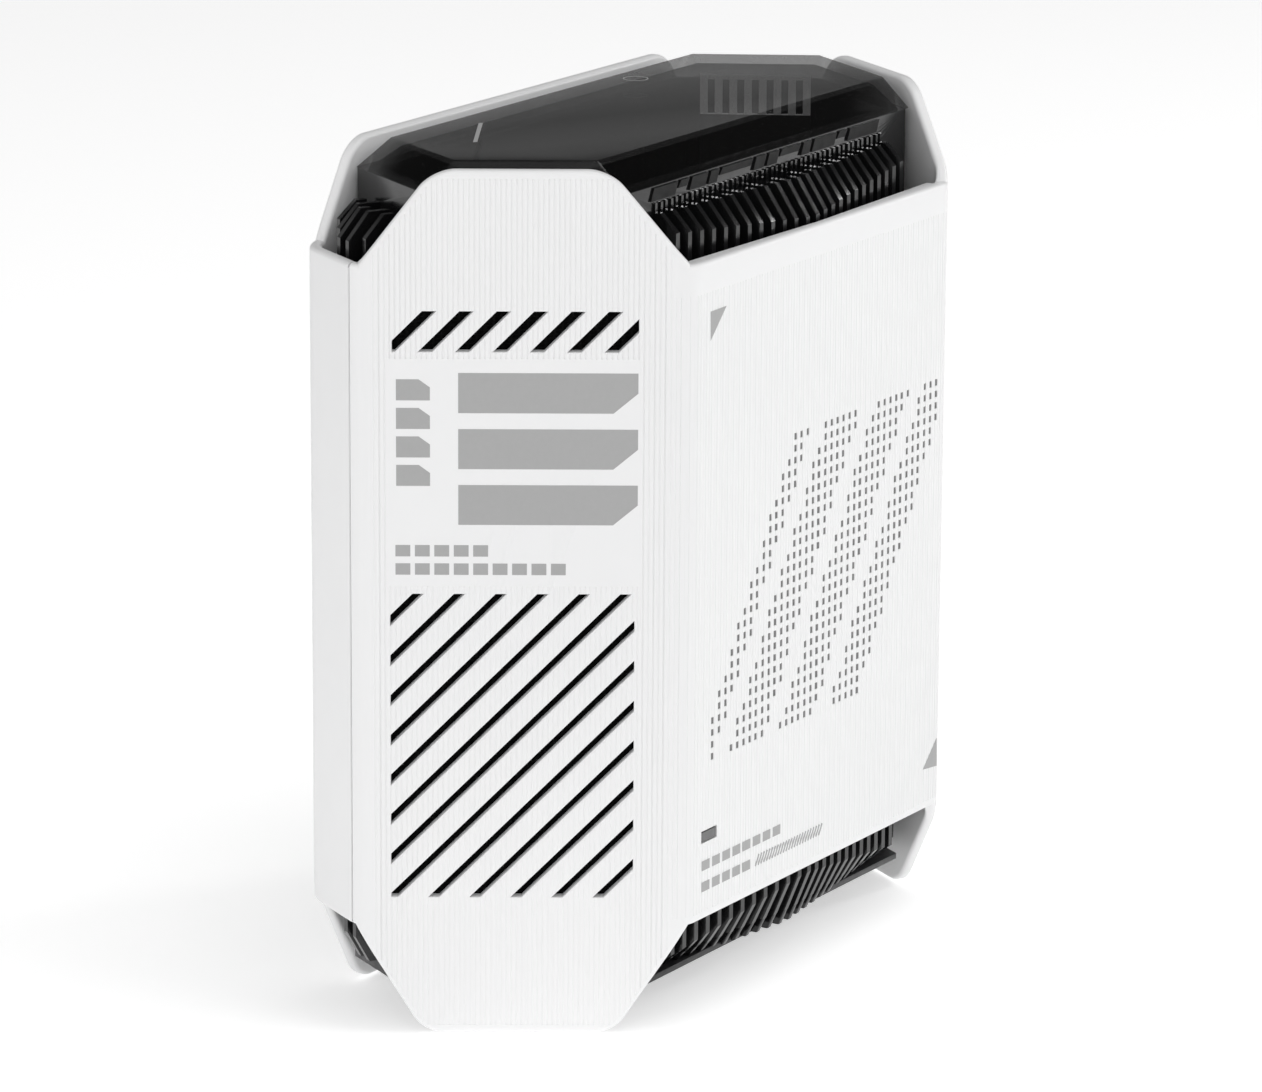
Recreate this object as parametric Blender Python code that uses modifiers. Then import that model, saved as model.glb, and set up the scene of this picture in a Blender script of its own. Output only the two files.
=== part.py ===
"""Wireless router: a tall elongated hexagon in a white two-piece shell round a black finned frame.

Sizes below are in millimetres and every mesh is scaled to metres as it is made.
X runs along the long axis, the low perforated face is at -Y, the connectors are at +Y, Z is up
and the origin lies on the floor under the middle of the body.
"""
import math

import bmesh
import bpy
from mathutils import Matrix, Vector

MM = 0.001

# ---- overall body ----
HEIGHT = 176.0            # floor to the flat of the smoked lid
TIP_X = 86.95             # half the length, at the two blunt tips
TIP_Y = 17.3              # how far behind the middle the tips lie
HALF_DEPTH = 38.0         # front face and rear face
FRONT_HALF = 52.0         # half the length of the front face
END_ANGLE = 60.0          # how steeply the short end faces run back, in degrees from X
CORNERS = (7.0, 7.0, 6.0, 11.0, 11.0, 6.0)   # plan radii: front, front, tip, rear, rear, tip
WALL = 2.6                # shell wall
GAP = 0.3                 # clearance between pieces that touch

# ---- tabs and notches of the shell ----
TAB_TOP = 175.4
TAB_FOOT = 0.5
NOTCH_TOP = 156.6         # rim of the low faces
NOTCH_FOOT = 22.5
TAB_RADIUS = 9.0
FOOT_RADIUS = 6.5
PARTING_Y = 19.3          # front and rear shell meet here, just behind the tips

# ---- vents of the two tall end faces, along the face from the tip and up from the floor ----
SLOT_WIDTH = 2.8          # measured along the face
UPPER_ROW = (7.4, 55.4, 139.5, 147.6)
UPPER_PITCH = 7.25
UPPER_FIRST = 5.2
UPPER_COUNT = 7
LOWER_GRID = (6.9, 54.8, 28.8, 91.0)
LOWER_PITCH = 8.14
LOWER_FIRST = -50.9
LOWER_COUNT = 13
LOWER_WIDTH = 2.2

# ---- lid, and the black frames that carry the fins ----
LID_INSETS = (19.1, 7.2, 20.3, 9.4)          # from the front, tall end, short end and rear faces
SKIRT_INSETS = (12.9, 3.6, 14.1, 3.6)
LID_SKIRT = 170.2
LID_WALL = 1.8
CORE_INSETS = (13.4, 4.5, 14.6, 3.6)         # outside of the upper frame's tube
LOWER_CORE_INSETS = (13.4, 4.5, 14.6, 6.2)
CORE_WALL = 4.0
UPPER_FRAME = (144.0, 169.9)
LOWER_FRAME = (11.5, 27.5)
FIN_THICK = 1.4
FIN_PITCH = 3.84
FRONT_FINS = 24
END_FINS = 6
FIN_TOP = 164.6

# ---- louvre under the lid ----
LOUVRE_GAPS = 7
LOUVRE_PITCH = 3.1
LOUVRE_BAR = 1.6
LOUVRE_LENGTH = LOUVRE_GAPS * LOUVRE_PITCH + LOUVRE_BAR

# ---- base ----
BASE_TOP = 11.2
BASE_FOOT = 8.4
BASE_INSETS = (10.2, 6.4, 10.4, 6.4)
FOOT_PLACES = [(-46, -5), (46, -5), (-44, 24), (44, 24)]
BASE_SCREW_X = (-62, -20, 20, 62)
BASE_SCREW_Y = 8
PAD_RADIUS = 6.0

# ---- connector bay in the rear face ----
BAY = (-61.0, 61.0, 26.0, 58.0)              # window: left, right, bottom, top
PANEL = (32.8, 35.1)                         # depth range of the black panel
BOARD = (13.4, 15.0)                         # depth range of the main board
JACK_FRONT = 34.5
JACK_Z = 37.5
BUTTON_Z = 51.0
JACK_X = {"wan_jack": 2.0, "lan_jack_1": -15.8, "lan_jack_2": -33.6, "lan_jack_3": -51.4}
USB_X = 20.4
SWITCH_X = 36.4
DC_X = 51.2
ROCKER_PIVOT_Y = 31.0
ROCKER_TILT = 8.0


# ---------------------------------------------------------------- materials
def material(name, colour, roughness, metallic=0.0):
    """One Principled material."""
    mat = bpy.data.materials.new(name)
    mat.use_nodes = True
    shader = mat.node_tree.nodes["Principled BSDF"]
    shader.inputs["Base Color"].default_value = (*colour, 1.0)
    shader.inputs["Roughness"].default_value = roughness
    shader.inputs["Metallic"].default_value = metallic
    return mat


FINISHES = {
    "white_shell": ((0.82, 0.82, 0.82), 0.45, 0.0),
    "smoked_lid": ((0.03, 0.03, 0.032), 0.06, 0.0),
    "black_plastic": ((0.012, 0.012, 0.013), 0.38, 0.0),
    "rubber": ((0.02, 0.02, 0.02), 0.85, 0.0),
    "circuit_board": ((0.015, 0.05, 0.03), 0.5, 0.0),
    "aluminium": ((0.62, 0.63, 0.65), 0.35, 1.0),
    "steel": ((0.55, 0.55, 0.56), 0.3, 1.0),
    "diffuser": ((0.75, 0.75, 0.75), 0.4, 0.0),
    "thermal_pad": ((0.25, 0.3, 0.4), 0.8, 0.0),
    "label": ((0.7, 0.7, 0.7), 0.6, 0.0),
    "contact": ((0.75, 0.6, 0.25), 0.25, 1.0),
}


# ---------------------------------------------------------------- helpers
def start_scene():
    """Empty the scene and make the two collections."""
    for old in list(bpy.data.objects):
        bpy.data.objects.remove(old, do_unlink=True)
    for name in ("wireless_router", "cutters"):
        if name not in bpy.data.collections:
            bpy.context.scene.collection.children.link(bpy.data.collections.new(name))


def add_object(name, bm, finish=None, origin=(0, 0, 0)):
    """Turn a bmesh in millimetres into an object; a piece without a finish is a cutter."""
    bmesh.ops.translate(bm, verts=bm.verts, vec=-Vector(origin))
    bmesh.ops.scale(bm, verts=bm.verts, vec=(MM, MM, MM))
    bmesh.ops.recalc_face_normals(bm, faces=bm.faces)
    mesh = bpy.data.meshes.new(name)
    bm.to_mesh(mesh)
    bm.free()
    obj = bpy.data.objects.new(name, mesh)
    obj.location = Vector(origin) * MM
    if finish:
        mesh.materials.append(bpy.data.materials[finish])
        bpy.data.collections["wireless_router"].objects.link(obj)
    else:
        obj.hide_render = True
        obj.display_type = "WIRE"
        bpy.data.collections["cutters"].objects.link(obj)
    return obj


def boolean(obj, other, operation="DIFFERENCE"):
    """Cut, join or intersect with a live modifier."""
    mod = obj.modifiers.new(f"{operation.lower()}_{other.name}", "BOOLEAN")
    mod.operation = operation
    mod.object = other


def bevel(obj, width, segments=2, angle=40.0):
    """Round the sharp edges of a finished shape."""
    mod = obj.modifiers.new("rounded", "BEVEL")
    mod.width = width * MM
    mod.segments = segments
    mod.limit_method = "ANGLE"
    mod.angle_limit = math.radians(angle)


def prism_into(bm, outline, low, high, radii=None, segments=4):
    """Add an upright prism of a flat outline, with rounded corners where radii are given."""
    verts = [bm.verts.new((x, y, low)) for x, y in outline]
    face = bm.faces.new(verts)
    made = set(bm.faces) - {face}
    if radii:
        for vert, radius in zip(verts, radii):
            if radius > 0:
                turn = corner_turn(outline, verts.index(vert))
                bmesh.ops.bevel(bm, geom=[vert], offset=radius * math.tan(turn / 2), segments=segments,
                                profile=0.5, affect="VERTICES")
        face = (set(bm.faces) - made).pop()
    top = bmesh.ops.extrude_face_region(bm, geom=[face])["geom"]
    bmesh.ops.translate(bm, vec=(0, 0, high - low), verts=[v for v in top if isinstance(v, bmesh.types.BMVert)])


def corner_turn(outline, index):
    """How far an outline turns at one of its corners, in radians."""
    before, here, after = (Vector(outline[(index + k) % len(outline)]) for k in (-1, 0, 1))
    return (here - before).angle(after - here)


def prism(name, outline, low, high, finish=None, radii=None, segments=4):
    """One upright prism as an object."""
    bm = bmesh.new()
    prism_into(bm, outline, low, high, radii, segments)
    return add_object(name, bm, finish)


def box_into(bm, x0, x1, y0, y1, z0, z1):
    """Add a box between two corners."""
    size = Matrix.Diagonal((x1 - x0, y1 - y0, z1 - z0, 1))
    place = Matrix.Translation(((x0 + x1) / 2, (y0 + y1) / 2, (z0 + z1) / 2))
    bmesh.ops.create_cube(bm, size=1.0, matrix=place @ size)


def box(name, x0, x1, y0, y1, z0, z1, finish=None, origin=(0, 0, 0)):
    """One box as an object."""
    bm = bmesh.new()
    box_into(bm, x0, x1, y0, y1, z0, z1)
    return add_object(name, bm, finish, origin)


def rod_into(bm, start, end, radius, segments=20):
    """Add a round rod between two points."""
    start, end = Vector(start), Vector(end)
    turn = (end - start).to_track_quat("Z", "Y").to_matrix().to_4x4()
    place = Matrix.Translation((start + end) / 2) @ turn
    bmesh.ops.create_cone(bm, cap_ends=True, segments=segments, radius1=radius, radius2=radius,
                          depth=(end - start).length, matrix=place)


def rod(name, start, end, radius, finish=None, segments=20, origin=(0, 0, 0)):
    """One round rod as an object."""
    bm = bmesh.new()
    rod_into(bm, start, end, radius, segments)
    return add_object(name, bm, finish, origin)


# ---------------------------------------------------------------- plan of the body
SLOT_RUN = Vector((TIP_X - FRONT_HALF, TIP_Y + HALF_DEPTH)).normalized()      # right tall end face
END_RUN = Vector((-math.cos(math.radians(END_ANGLE)), math.sin(math.radians(END_ANGLE))))
FACE_LENGTH = math.hypot(TIP_X - FRONT_HALF, TIP_Y + HALF_DEPTH)


def face_line(point, run, inset):
    """A face of the plan as an outward normal and its distance from the middle."""
    normal = Vector((run.y, -run.x))
    return normal, normal.dot(Vector(point)) - inset


def crossing(one, two):
    """Where two face lines meet."""
    (a, p), (b, q) = one, two
    det = a.x * b.y - a.y * b.x
    return ((p * b.y - q * a.y) / det, (a.x * q - b.x * p) / det)


def plan(front, tall_end, short_end, rear):
    """The body's hexagon with each kind of face moved inwards, anticlockwise from front left."""
    faces = [face_line((0, -HALF_DEPTH), Vector((1, 0)), front),
             face_line((TIP_X, TIP_Y), SLOT_RUN, tall_end),
             face_line((TIP_X, TIP_Y), END_RUN, short_end),
             face_line((0, HALF_DEPTH), Vector((-1, 0)), rear)]
    right = [crossing(faces[k], faces[k + 1]) for k in range(3)]
    return [(-right[0][0], right[0][1]), *right, (-right[2][0], right[2][1]), (-right[1][0], right[1][1])]


def tall_face_frame(depth=0.0):
    """Frame on the left tall end face: x along it from the tip, y up, z outwards."""
    along = Vector((SLOT_RUN.x, -SLOT_RUN.y, 0))
    up = Vector((0, 0, 1))
    out = along.cross(up)
    turn = Matrix((along, up, out)).transposed().to_4x4()
    return Matrix.Translation(Vector((-TIP_X, TIP_Y, 0)) - out * depth) @ turn


def mirror_copy(bm):
    """Add the mirror image across the middle plane."""
    copy = bmesh.ops.duplicate(bm, geom=list(bm.verts) + list(bm.edges) + list(bm.faces))["geom"]
    verts = [g for g in copy if isinstance(g, bmesh.types.BMVert)]
    bmesh.ops.scale(bm, verts=verts, vec=(-1, 1, 1))
    bmesh.ops.reverse_faces(bm, faces=[g for g in copy if isinstance(g, bmesh.types.BMFace)])


def pair_on_tall_faces(name, bm, depth=0.0):
    """Lay flat cutters on the left tall face and mirror them onto the right one."""
    bmesh.ops.transform(bm, matrix=tall_face_frame(depth), verts=bm.verts)
    mirror_copy(bm)
    return add_object(name, bm)


# ---------------------------------------------------------------- shells
def end_tab_outline():
    """Outline of a tall end face between its notches, as seen square on."""
    face = FACE_LENGTH
    return [(-0.3, NOTCH_FOOT), (13.2, TAB_FOOT), (face - 14.3, TAB_FOOT), (face + 0.4, NOTCH_FOOT),
            (face - 0.2, NOTCH_TOP), (face - 15.8, TAB_TOP), (15.4, TAB_TOP), (0.9, NOTCH_TOP)]


def rear_tab_outline():
    """Outline of the tall rear face between its notches."""
    return [(-71.5, NOTCH_FOOT), (-58.7, TAB_FOOT), (58.7, TAB_FOOT), (71.5, NOTCH_FOOT),
            (70.5, NOTCH_TOP), (59.0, TAB_TOP), (-59.0, TAB_TOP), (-70.5, NOTCH_TOP)]


TAB_RADII = (0, FOOT_RADIUS, FOOT_RADIUS, 0, 0, TAB_RADIUS, TAB_RADIUS, 0)


def notch_cutter(name, low, high):
    """All that is cut away above or below the low faces, which leaves the tabs standing."""
    cutter = box(name, -100, 100, -60, 60, low, high)
    end_tabs = bmesh.new()
    prism_into(end_tabs, end_tab_outline(), -14, 12, TAB_RADII, 6)
    boolean(cutter, pair_on_tall_faces(f"{name}_end_tabs", end_tabs))
    rear_tab = bmesh.new()
    prism_into(rear_tab, rear_tab_outline(), -45, -24, TAB_RADII, 6)
    bmesh.ops.transform(rear_tab, matrix=Matrix.Rotation(math.radians(90), 4, "X"), verts=rear_tab.verts)
    boolean(cutter, add_object(f"{name}_rear_tab", rear_tab))
    return cutter


def slot_cutter():
    """Slanting vents of both tall end faces, trimmed to their two fields."""
    fields = bmesh.new()
    for left, right, low, high in (UPPER_ROW, LOWER_GRID):
        prism_into(fields, [(left, low), (right, low), (right, high), (left, high)], -8, 5)
    slots = bmesh.new()
    for k in range(UPPER_COUNT):
        slant_into(slots, UPPER_FIRST + k * UPPER_PITCH, SLOT_WIDTH, UPPER_ROW)
    for k in range(LOWER_COUNT):
        slant_into(slots, LOWER_FIRST + k * LOWER_PITCH, LOWER_WIDTH, LOWER_GRID)
    cutter = pair_on_tall_faces("slot_cutter", slots)
    boolean(cutter, pair_on_tall_faces("slot_fields", fields), "INTERSECT")
    return cutter


def slant_into(bm, start, width, field):
    """One slanting bar at 45 degrees, whose lower end would start at this place."""
    low, high = field[2] - 1, field[3] + 1
    rise = high - low
    outline = [(start - 1, low), (start - 1 + width, low),
               (start - 1 + width + rise, high), (start - 1 + rise, high)]
    prism_into(bm, outline, -6, 3)


def shell_ring(name, finish):
    """The hexagonal wall at full height, before the notches."""
    ring = prism(name, plan(0, 0, 0, 0), TAB_FOOT, TAB_TOP, finish, CORNERS, 5)
    inner_radii = [max(radius - WALL, 1.0) for radius in CORNERS]
    boolean(ring, prism(f"{name}_inside", plan(WALL, WALL, WALL, WALL), -5, HEIGHT + 5, None, inner_radii, 5))
    return ring


def front_shell(top_cut, foot_cut, slots):
    """Front face with both tall end faces, wrapping a little round the tips."""
    shell = shell_ring("front_shell", "white_shell")
    boolean(shell, box("front_shell_trim", -100, 100, PARTING_Y - GAP / 2, 60, -10, 190))
    lip = bmesh.new()
    inner = WALL - HALF_DEPTH
    prism_into(lip, [(-47.5, inner - 1), (47.5, inner - 1), (47.5, inner + 1.4), (0, inner), (-47.5, inner + 1.4)],
               152.5, NOTCH_TOP)
    boolean(shell, add_object("front_rim_lip", lip), "UNION")
    for cutter in (top_cut, foot_cut, slots):
        boolean(shell, cutter)
    boolean(shell, box("led_hole", -46.4, -40.4, -45, -30, 38.5, 41.0))


def rear_shell(top_cut, foot_cut):
    """Rear face with both short end faces and the window of the connector bay."""
    shell = shell_ring("rear_shell", "white_shell")
    boolean(shell, box("rear_shell_trim", -100, 100, -60, PARTING_Y + GAP / 2, -10, 190))
    for cutter in (top_cut, foot_cut):
        boolean(shell, cutter)
    left, right, low, high = BAY
    window = bmesh.new()
    prism_into(window, [(left, low), (right, low), (right, high), (left, high)], -45, -30, (3, 3, 3, 3))
    bmesh.ops.transform(window, matrix=Matrix.Rotation(math.radians(90), 4, "X"), verts=window.verts)
    boolean(shell, add_object("bay_window", window))


def front_trim():
    """Indicator lens, and the light guide with its board behind the perforated face."""
    box("indicator_lens", -46.1, -40.7, -37.9, -34.8, 38.8, 40.7, "black_plastic")
    guide = box("front_light_guide", -46, 49, -34.5, -32.9, 50, 118, "diffuser")
    bevel(guide, 0.5, 1)
    box("front_light_board", -44, 47, -30.6, -29.4, 52, 116, "circuit_board")


def slot_screens():
    """Black mesh sheet behind the vents of each tall end face."""
    for name, side in (("slot_screen_left", 1), ("slot_screen_right", -1)):
        bm = bmesh.new()
        prism_into(bm, [(4, 26), (58.5, 26), (58.5, 150.5), (4, 150.5)], -1.2, 0, (2, 2, 2, 2), 2)
        bmesh.ops.transform(bm, matrix=tall_face_frame(WALL + GAP), verts=bm.verts)
        bmesh.ops.scale(bm, verts=bm.verts, vec=(side, 1, 1))
        add_object(name, bm, "black_plastic")


# ---------------------------------------------------------------- lid and what it covers
def frustum_into(bm, low_outline, high_outline, low, high):
    """A solid whose outline changes evenly from its foot to its top."""
    foot = [bm.verts.new((x, y, low)) for x, y in low_outline]
    face = bm.faces.new(foot)
    grown = bmesh.ops.extrude_face_region(bm, geom=[face])["geom"]
    for vert in (g for g in grown if isinstance(g, bmesh.types.BMVert)):
        nearest = min(range(len(foot)), key=lambda k: (vert.co - foot[k].co).length)
        vert.co = (*high_outline[nearest], high)


def smoked_lid():
    """Thin-walled lid with sloping sides, open underneath."""
    outer = bmesh.new()
    frustum_into(outer, plan(*SKIRT_INSETS), plan(*LID_INSETS), LID_SKIRT, HEIGHT)
    lid = add_object("smoked_lid", outer, "smoked_lid")
    inner = bmesh.new()
    wall = LID_WALL
    frustum_into(inner, plan(*(i + wall for i in SKIRT_INSETS)), plan(*(i + wall for i in LID_INSETS)),
                 LID_SKIRT - 0.5, HEIGHT - wall)
    boolean(lid, add_object("lid_hollow", inner))
    bevel(lid, 0.3, 1)


def under_lid():
    """Inner louvre, light ring and its board, seen dimly through the smoked lid."""
    louvre = box("inner_louvre", 0, LOUVRE_LENGTH, -0.7, 0.7, 150, 173.3, "black_plastic")
    cuts = bmesh.new()
    for k in range(LOUVRE_GAPS):
        start = LOUVRE_BAR + k * LOUVRE_PITCH
        box_into(cuts, start, start + LOUVRE_PITCH - LOUVRE_BAR, -3, 3, 165.0, 172.4)
    boolean(louvre, add_object("louvre_gaps", cuts))
    place = Matrix.Translation((49.2 * MM, 21.7 * MM, 0)) @ Matrix.Rotation(math.radians(-61), 4, "Z")
    for obj in (louvre, bpy.data.objects["louvre_gaps"]):
        obj.data.transform(place)
    ring = prism("light_ring", plan(19.5, 11.5, 20.5, 11.5), 150.6, 152.2, "diffuser")
    boolean(ring, prism("light_ring_hole", plan(26, 21, 27, 19), 149, 154))
    boolean(ring, box("light_ring_gap", 22, 72, -10, 32, 149, 154))
    board = prism("top_light_board", plan(20, 12, 21, 12), 147.6, 148.8, "circuit_board")
    boolean(board, box("light_board_gap", 22, 72, -10, 32, 146, 150))


# ---------------------------------------------------------------- finned frames
def fin_outline(reach, knee, bevel_in, flat, low, top):
    """Side view of one fin, from the core outwards: upright edge, slope, short flat top."""
    inner = max(reach - bevel_in - flat, 0.0)
    points = [(-0.6, low), (reach, low), (reach, knee), (reach - bevel_in, top), (inner, top)]
    if inner > 0.5:
        points += [(inner, top - 3.5), (-0.6, top - 3.5)]
    else:
        points[-1] = (-0.6, top)
    return points


def fins_into(bm, middle, run, count, reaches, knees, upper):
    """A row of fins standing square to one low face, whose tips make a shallow outward V."""
    out = Vector((run.y, -run.x, 0))
    half = (count - 1) / 2
    for k in range(count):
        offset = k - half
        share = 1 - abs(offset) / half
        reach = reaches[0] + (reaches[1] - reaches[0]) * share
        knee = knees[0] + (knees[1] - knees[0]) * share
        if upper:
            outline = fin_outline(reach, knee, 3.7 + share, 4.2 if k % 2 else 2.2, UPPER_FRAME[0] + 7, FIN_TOP)
        else:
            outline = [(-0.6, LOWER_FRAME[0] + 0.3), (reach - 2.2 - share, LOWER_FRAME[0] + 0.3),
                       (reach, knee), (reach, LOWER_FRAME[1] - 1), (-0.6, LOWER_FRAME[1] - 1)]
        fin = bmesh.new()
        prism_into(fin, outline, -FIN_THICK / 2, FIN_THICK / 2)
        along = Vector((run.x, run.y, 0))
        turn = Matrix((out, Vector((0, 0, 1)), out.cross(Vector((0, 0, 1))))).transposed().to_4x4()
        place = Matrix.Translation(Vector((*middle, 0)) + along * offset * FIN_PITCH) @ turn
        bmesh.ops.transform(fin, matrix=place, verts=fin.verts)
        piece = bpy.data.meshes.new("fin")
        fin.to_mesh(piece)
        fin.free()
        bm.from_mesh(piece)
        bpy.data.meshes.remove(piece)


def middle_of(outline, index):
    """Middle of one side of an outline."""
    a, b = Vector(outline[index]), Vector(outline[(index + 1) % len(outline)])
    return (a + b) / 2


def finned_frame(name, insets, levels, upper):
    """Black hexagonal tube with a row of fins on each of the three low faces."""
    low, high = levels
    outline = plan(*insets)
    frame = prism(name, outline, low, high, "black_plastic")
    boolean(frame, prism(f"{name}_inside", plan(*(i + CORE_WALL for i in insets)), low - 5, high + 5))
    core_front = HALF_DEPTH - insets[0]
    front_reach = (30.1 - core_front, 35.0 - core_front)
    end_reach = (insets[2] - 7.6, insets[2] - WALL - 0.5)
    knees = ((161.0, 157.4), (161.0, 158.6)) if upper else ((13.4, 19.8), (14.0, 18.0))
    for k, (side, run, count, reach) in enumerate(((0, Vector((1, 0)), FRONT_FINS, front_reach),
                                                   (2, END_RUN, END_FINS, end_reach),
                                                   (4, Vector((END_RUN.x, -END_RUN.y)), END_FINS, end_reach))):
        fins = bmesh.new()
        fins_into(fins, middle_of(outline, side), run, count, reach, knees[min(k, 1)], upper)
        boolean(frame, add_object(f"{name}_fins_{k}", fins), "UNION")


# ---------------------------------------------------------------- base
def base():
    """Base plate, four rubber feet, their screws and the blank label."""
    plate = prism("base_plate", plan(*BASE_INSETS), BASE_FOOT, BASE_TOP, "black_plastic")
    holes = bmesh.new()
    for x, y in FOOT_PLACES:
        rod_into(holes, (x, y, BASE_FOOT - 1), (x, y, BASE_FOOT + 1.2), PAD_RADIUS + GAP, 24)
    for x in BASE_SCREW_X:
        rod_into(holes, (x, BASE_SCREW_Y, BASE_FOOT - 1), (x, BASE_SCREW_Y, BASE_FOOT + 1.8), 2.9, 16)
    boolean(plate, add_object("base_holes", holes))
    for k, (x, y) in enumerate(FOOT_PLACES, 1):
        foot = rod(f"rubber_foot_{k}", (x, y, 0), (x, y, BASE_FOOT + 0.9), PAD_RADIUS, "rubber", 24)
        bevel(foot, 0.8, 2, 60)
    for k, x in enumerate(BASE_SCREW_X, 1):
        head = [(x, BASE_SCREW_Y, BASE_FOOT + lift) for lift in (0.1, 1.5)]
        screw = rod(f"base_screw_{k}", *head, 2.5, "steel", 16)
        boolean(screw, cross_recess(f"base_screw_{k}_recess", *head[0]))
    box("label_plate", -24, 24, 14, 28, BASE_FOOT - 0.7, BASE_FOOT - GAP, "label")


def cross_recess(name, x, y, face):
    """Cross-shaped recess in a screw head that faces down."""
    bm = bmesh.new()
    prism_into(bm, [(x - 1.5, y - 0.3), (x + 1.5, y - 0.3), (x + 1.5, y + 0.3), (x - 1.5, y + 0.3)],
               face - 1, face + 0.8)
    cutter = add_object(name, bm)
    boolean(cutter, box(f"{name}_cross", x - 0.3, x + 0.3, y - 1.5, y + 1.5, face - 1, face + 0.8), "UNION")
    return cutter


# ---------------------------------------------------------------- electronics
def main_board():
    """Upright main board with its screws, shields, heat sink and spreader."""
    near, far = BOARD
    board = box("main_board", -60, 60, near, far, 28, 142, "circuit_board")
    holes = bmesh.new()
    corners = [(-56, 66), (56, 66), (-56, 138), (56, 138)]
    for x, z in corners:
        rod_into(holes, (x, near - 2, z), (x, far + 2, z), 1.8, 16)
    boolean(board, add_object("board_holes", holes))
    for k, (x, z) in enumerate(corners, 1):
        screw = rod(f"board_screw_{k}", (x, far + GAP, z), (x, far + 2.3, z), 2.8, "steel", 16)
        boolean(screw, rod(f"board_screw_{k}_shank", (x, near - 3, z), (x, far + 1.3, z), 1.4, None, 12), "UNION")
    shields = {"processor_shield": (-20, 12, 96, 128), "radio_shield_low": (-50, -24, 92, 126),
               "radio_shield_high": (16, 48, 92, 126)}
    for name, (x0, x1, z0, z1) in shields.items():
        bevel(box(name, x0, x1, near - 2.8, near - GAP, z0, z1, "steel"), 0.4, 1)
    box("thermal_pad", -18, 10, near - 4.1, near - 3.1, 98, 126, "thermal_pad")
    sink = box("heat_sink", -54, 54, near - 7.4, near - 4.4, 62, 140, "aluminium")
    fins = bmesh.new()
    for k in range(16):
        x = -52.5 + 7 * k
        box_into(fins, x - 0.7, x + 0.7, -14, near - 6.5, 62.5, 139.5)
    boolean(sink, add_object("sink_fins", fins), "UNION")
    spreader = box("rear_heat_spreader", -52, 52, far + 3.0, far + 4.6, 64, 140, "aluminium")
    bevel(spreader, 0.4, 1)


def antennas():
    """Six antenna boards round the inside of the shell."""
    for name, side in (("antenna_left", 1), ("antenna_right", -1)):
        for level, low in (("low", 40), ("high", 98)):
            bm = bmesh.new()
            box_into(bm, 20, 44, low, low + 42, -1.0, 0)
            bmesh.ops.transform(bm, matrix=tall_face_frame(9.0), verts=bm.verts)
            bmesh.ops.scale(bm, verts=bm.verts, vec=(side, 1, 1))
            add_object(f"{name}_{level}", bm, "circuit_board")
    for name, x in (("antenna_rear_left", -48), ("antenna_rear_right", 24)):
        box(name, x, x + 24, 28.5, 29.5, 84, 128, "circuit_board")


# ---------------------------------------------------------------- connector bay
def network_jack(name, x):
    """Shielded network jack: a box with a deep mouth and a notch for the plug's latch."""
    jack = box(name, x - 8.1, x + 8.1, BOARD[1] + GAP, JACK_FRONT, JACK_Z - 6.9, JACK_Z + 6.9, "steel")
    mouth = bmesh.new()
    box_into(mouth, x - 6.0, x + 6.0, 21.0, 40, JACK_Z - 2.6, JACK_Z + 5.4)
    boolean(jack, add_object(f"{name}_mouth", mouth))
    boolean(jack, box(f"{name}_latch", x - 3.1, x + 3.1, 24.0, 40, JACK_Z - 5.2, JACK_Z - 2.0))
    box(f"{name}_contacts", x - 4.6, x + 4.6, 21.4, 27.0, JACK_Z + 4.0, JACK_Z + 5.0, "contact")


def usb_port():
    """Host port with its tongue set back in the shield."""
    low, high = JACK_Z - 3.3, JACK_Z + 3.3
    port = box("usb_port", USB_X - 7.2, USB_X + 7.2, BOARD[1] + GAP, JACK_FRONT, low, high, "steel")
    boolean(port, box("usb_mouth", USB_X - 6.4, USB_X + 6.4, 20.5, 40, low + 0.7, high - 0.7))
    tongue = box("usb_tongue", USB_X - 5.6, USB_X + 5.6, 20.9, 29.8, JACK_Z + 0.2, JACK_Z + 2.0, "black_plastic")
    bevel(tongue, 0.2, 1)


def dc_inlet():
    """Round power inlet with its centre pin set back."""
    block = box("dc_inlet", DC_X - 5.6, DC_X + 5.6, BOARD[1] + GAP, JACK_FRONT, JACK_Z - 5.6, JACK_Z + 5.6,
                "black_plastic")
    boolean(block, rod("dc_mouth", (DC_X, 23.0, JACK_Z), (DC_X, 40, JACK_Z), 3.2, None, 24))
    boolean(block, rod("dc_pin_core", (DC_X, 21.0, JACK_Z), (DC_X, 28.6, JACK_Z), 1.1, None, 12), "UNION")


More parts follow.
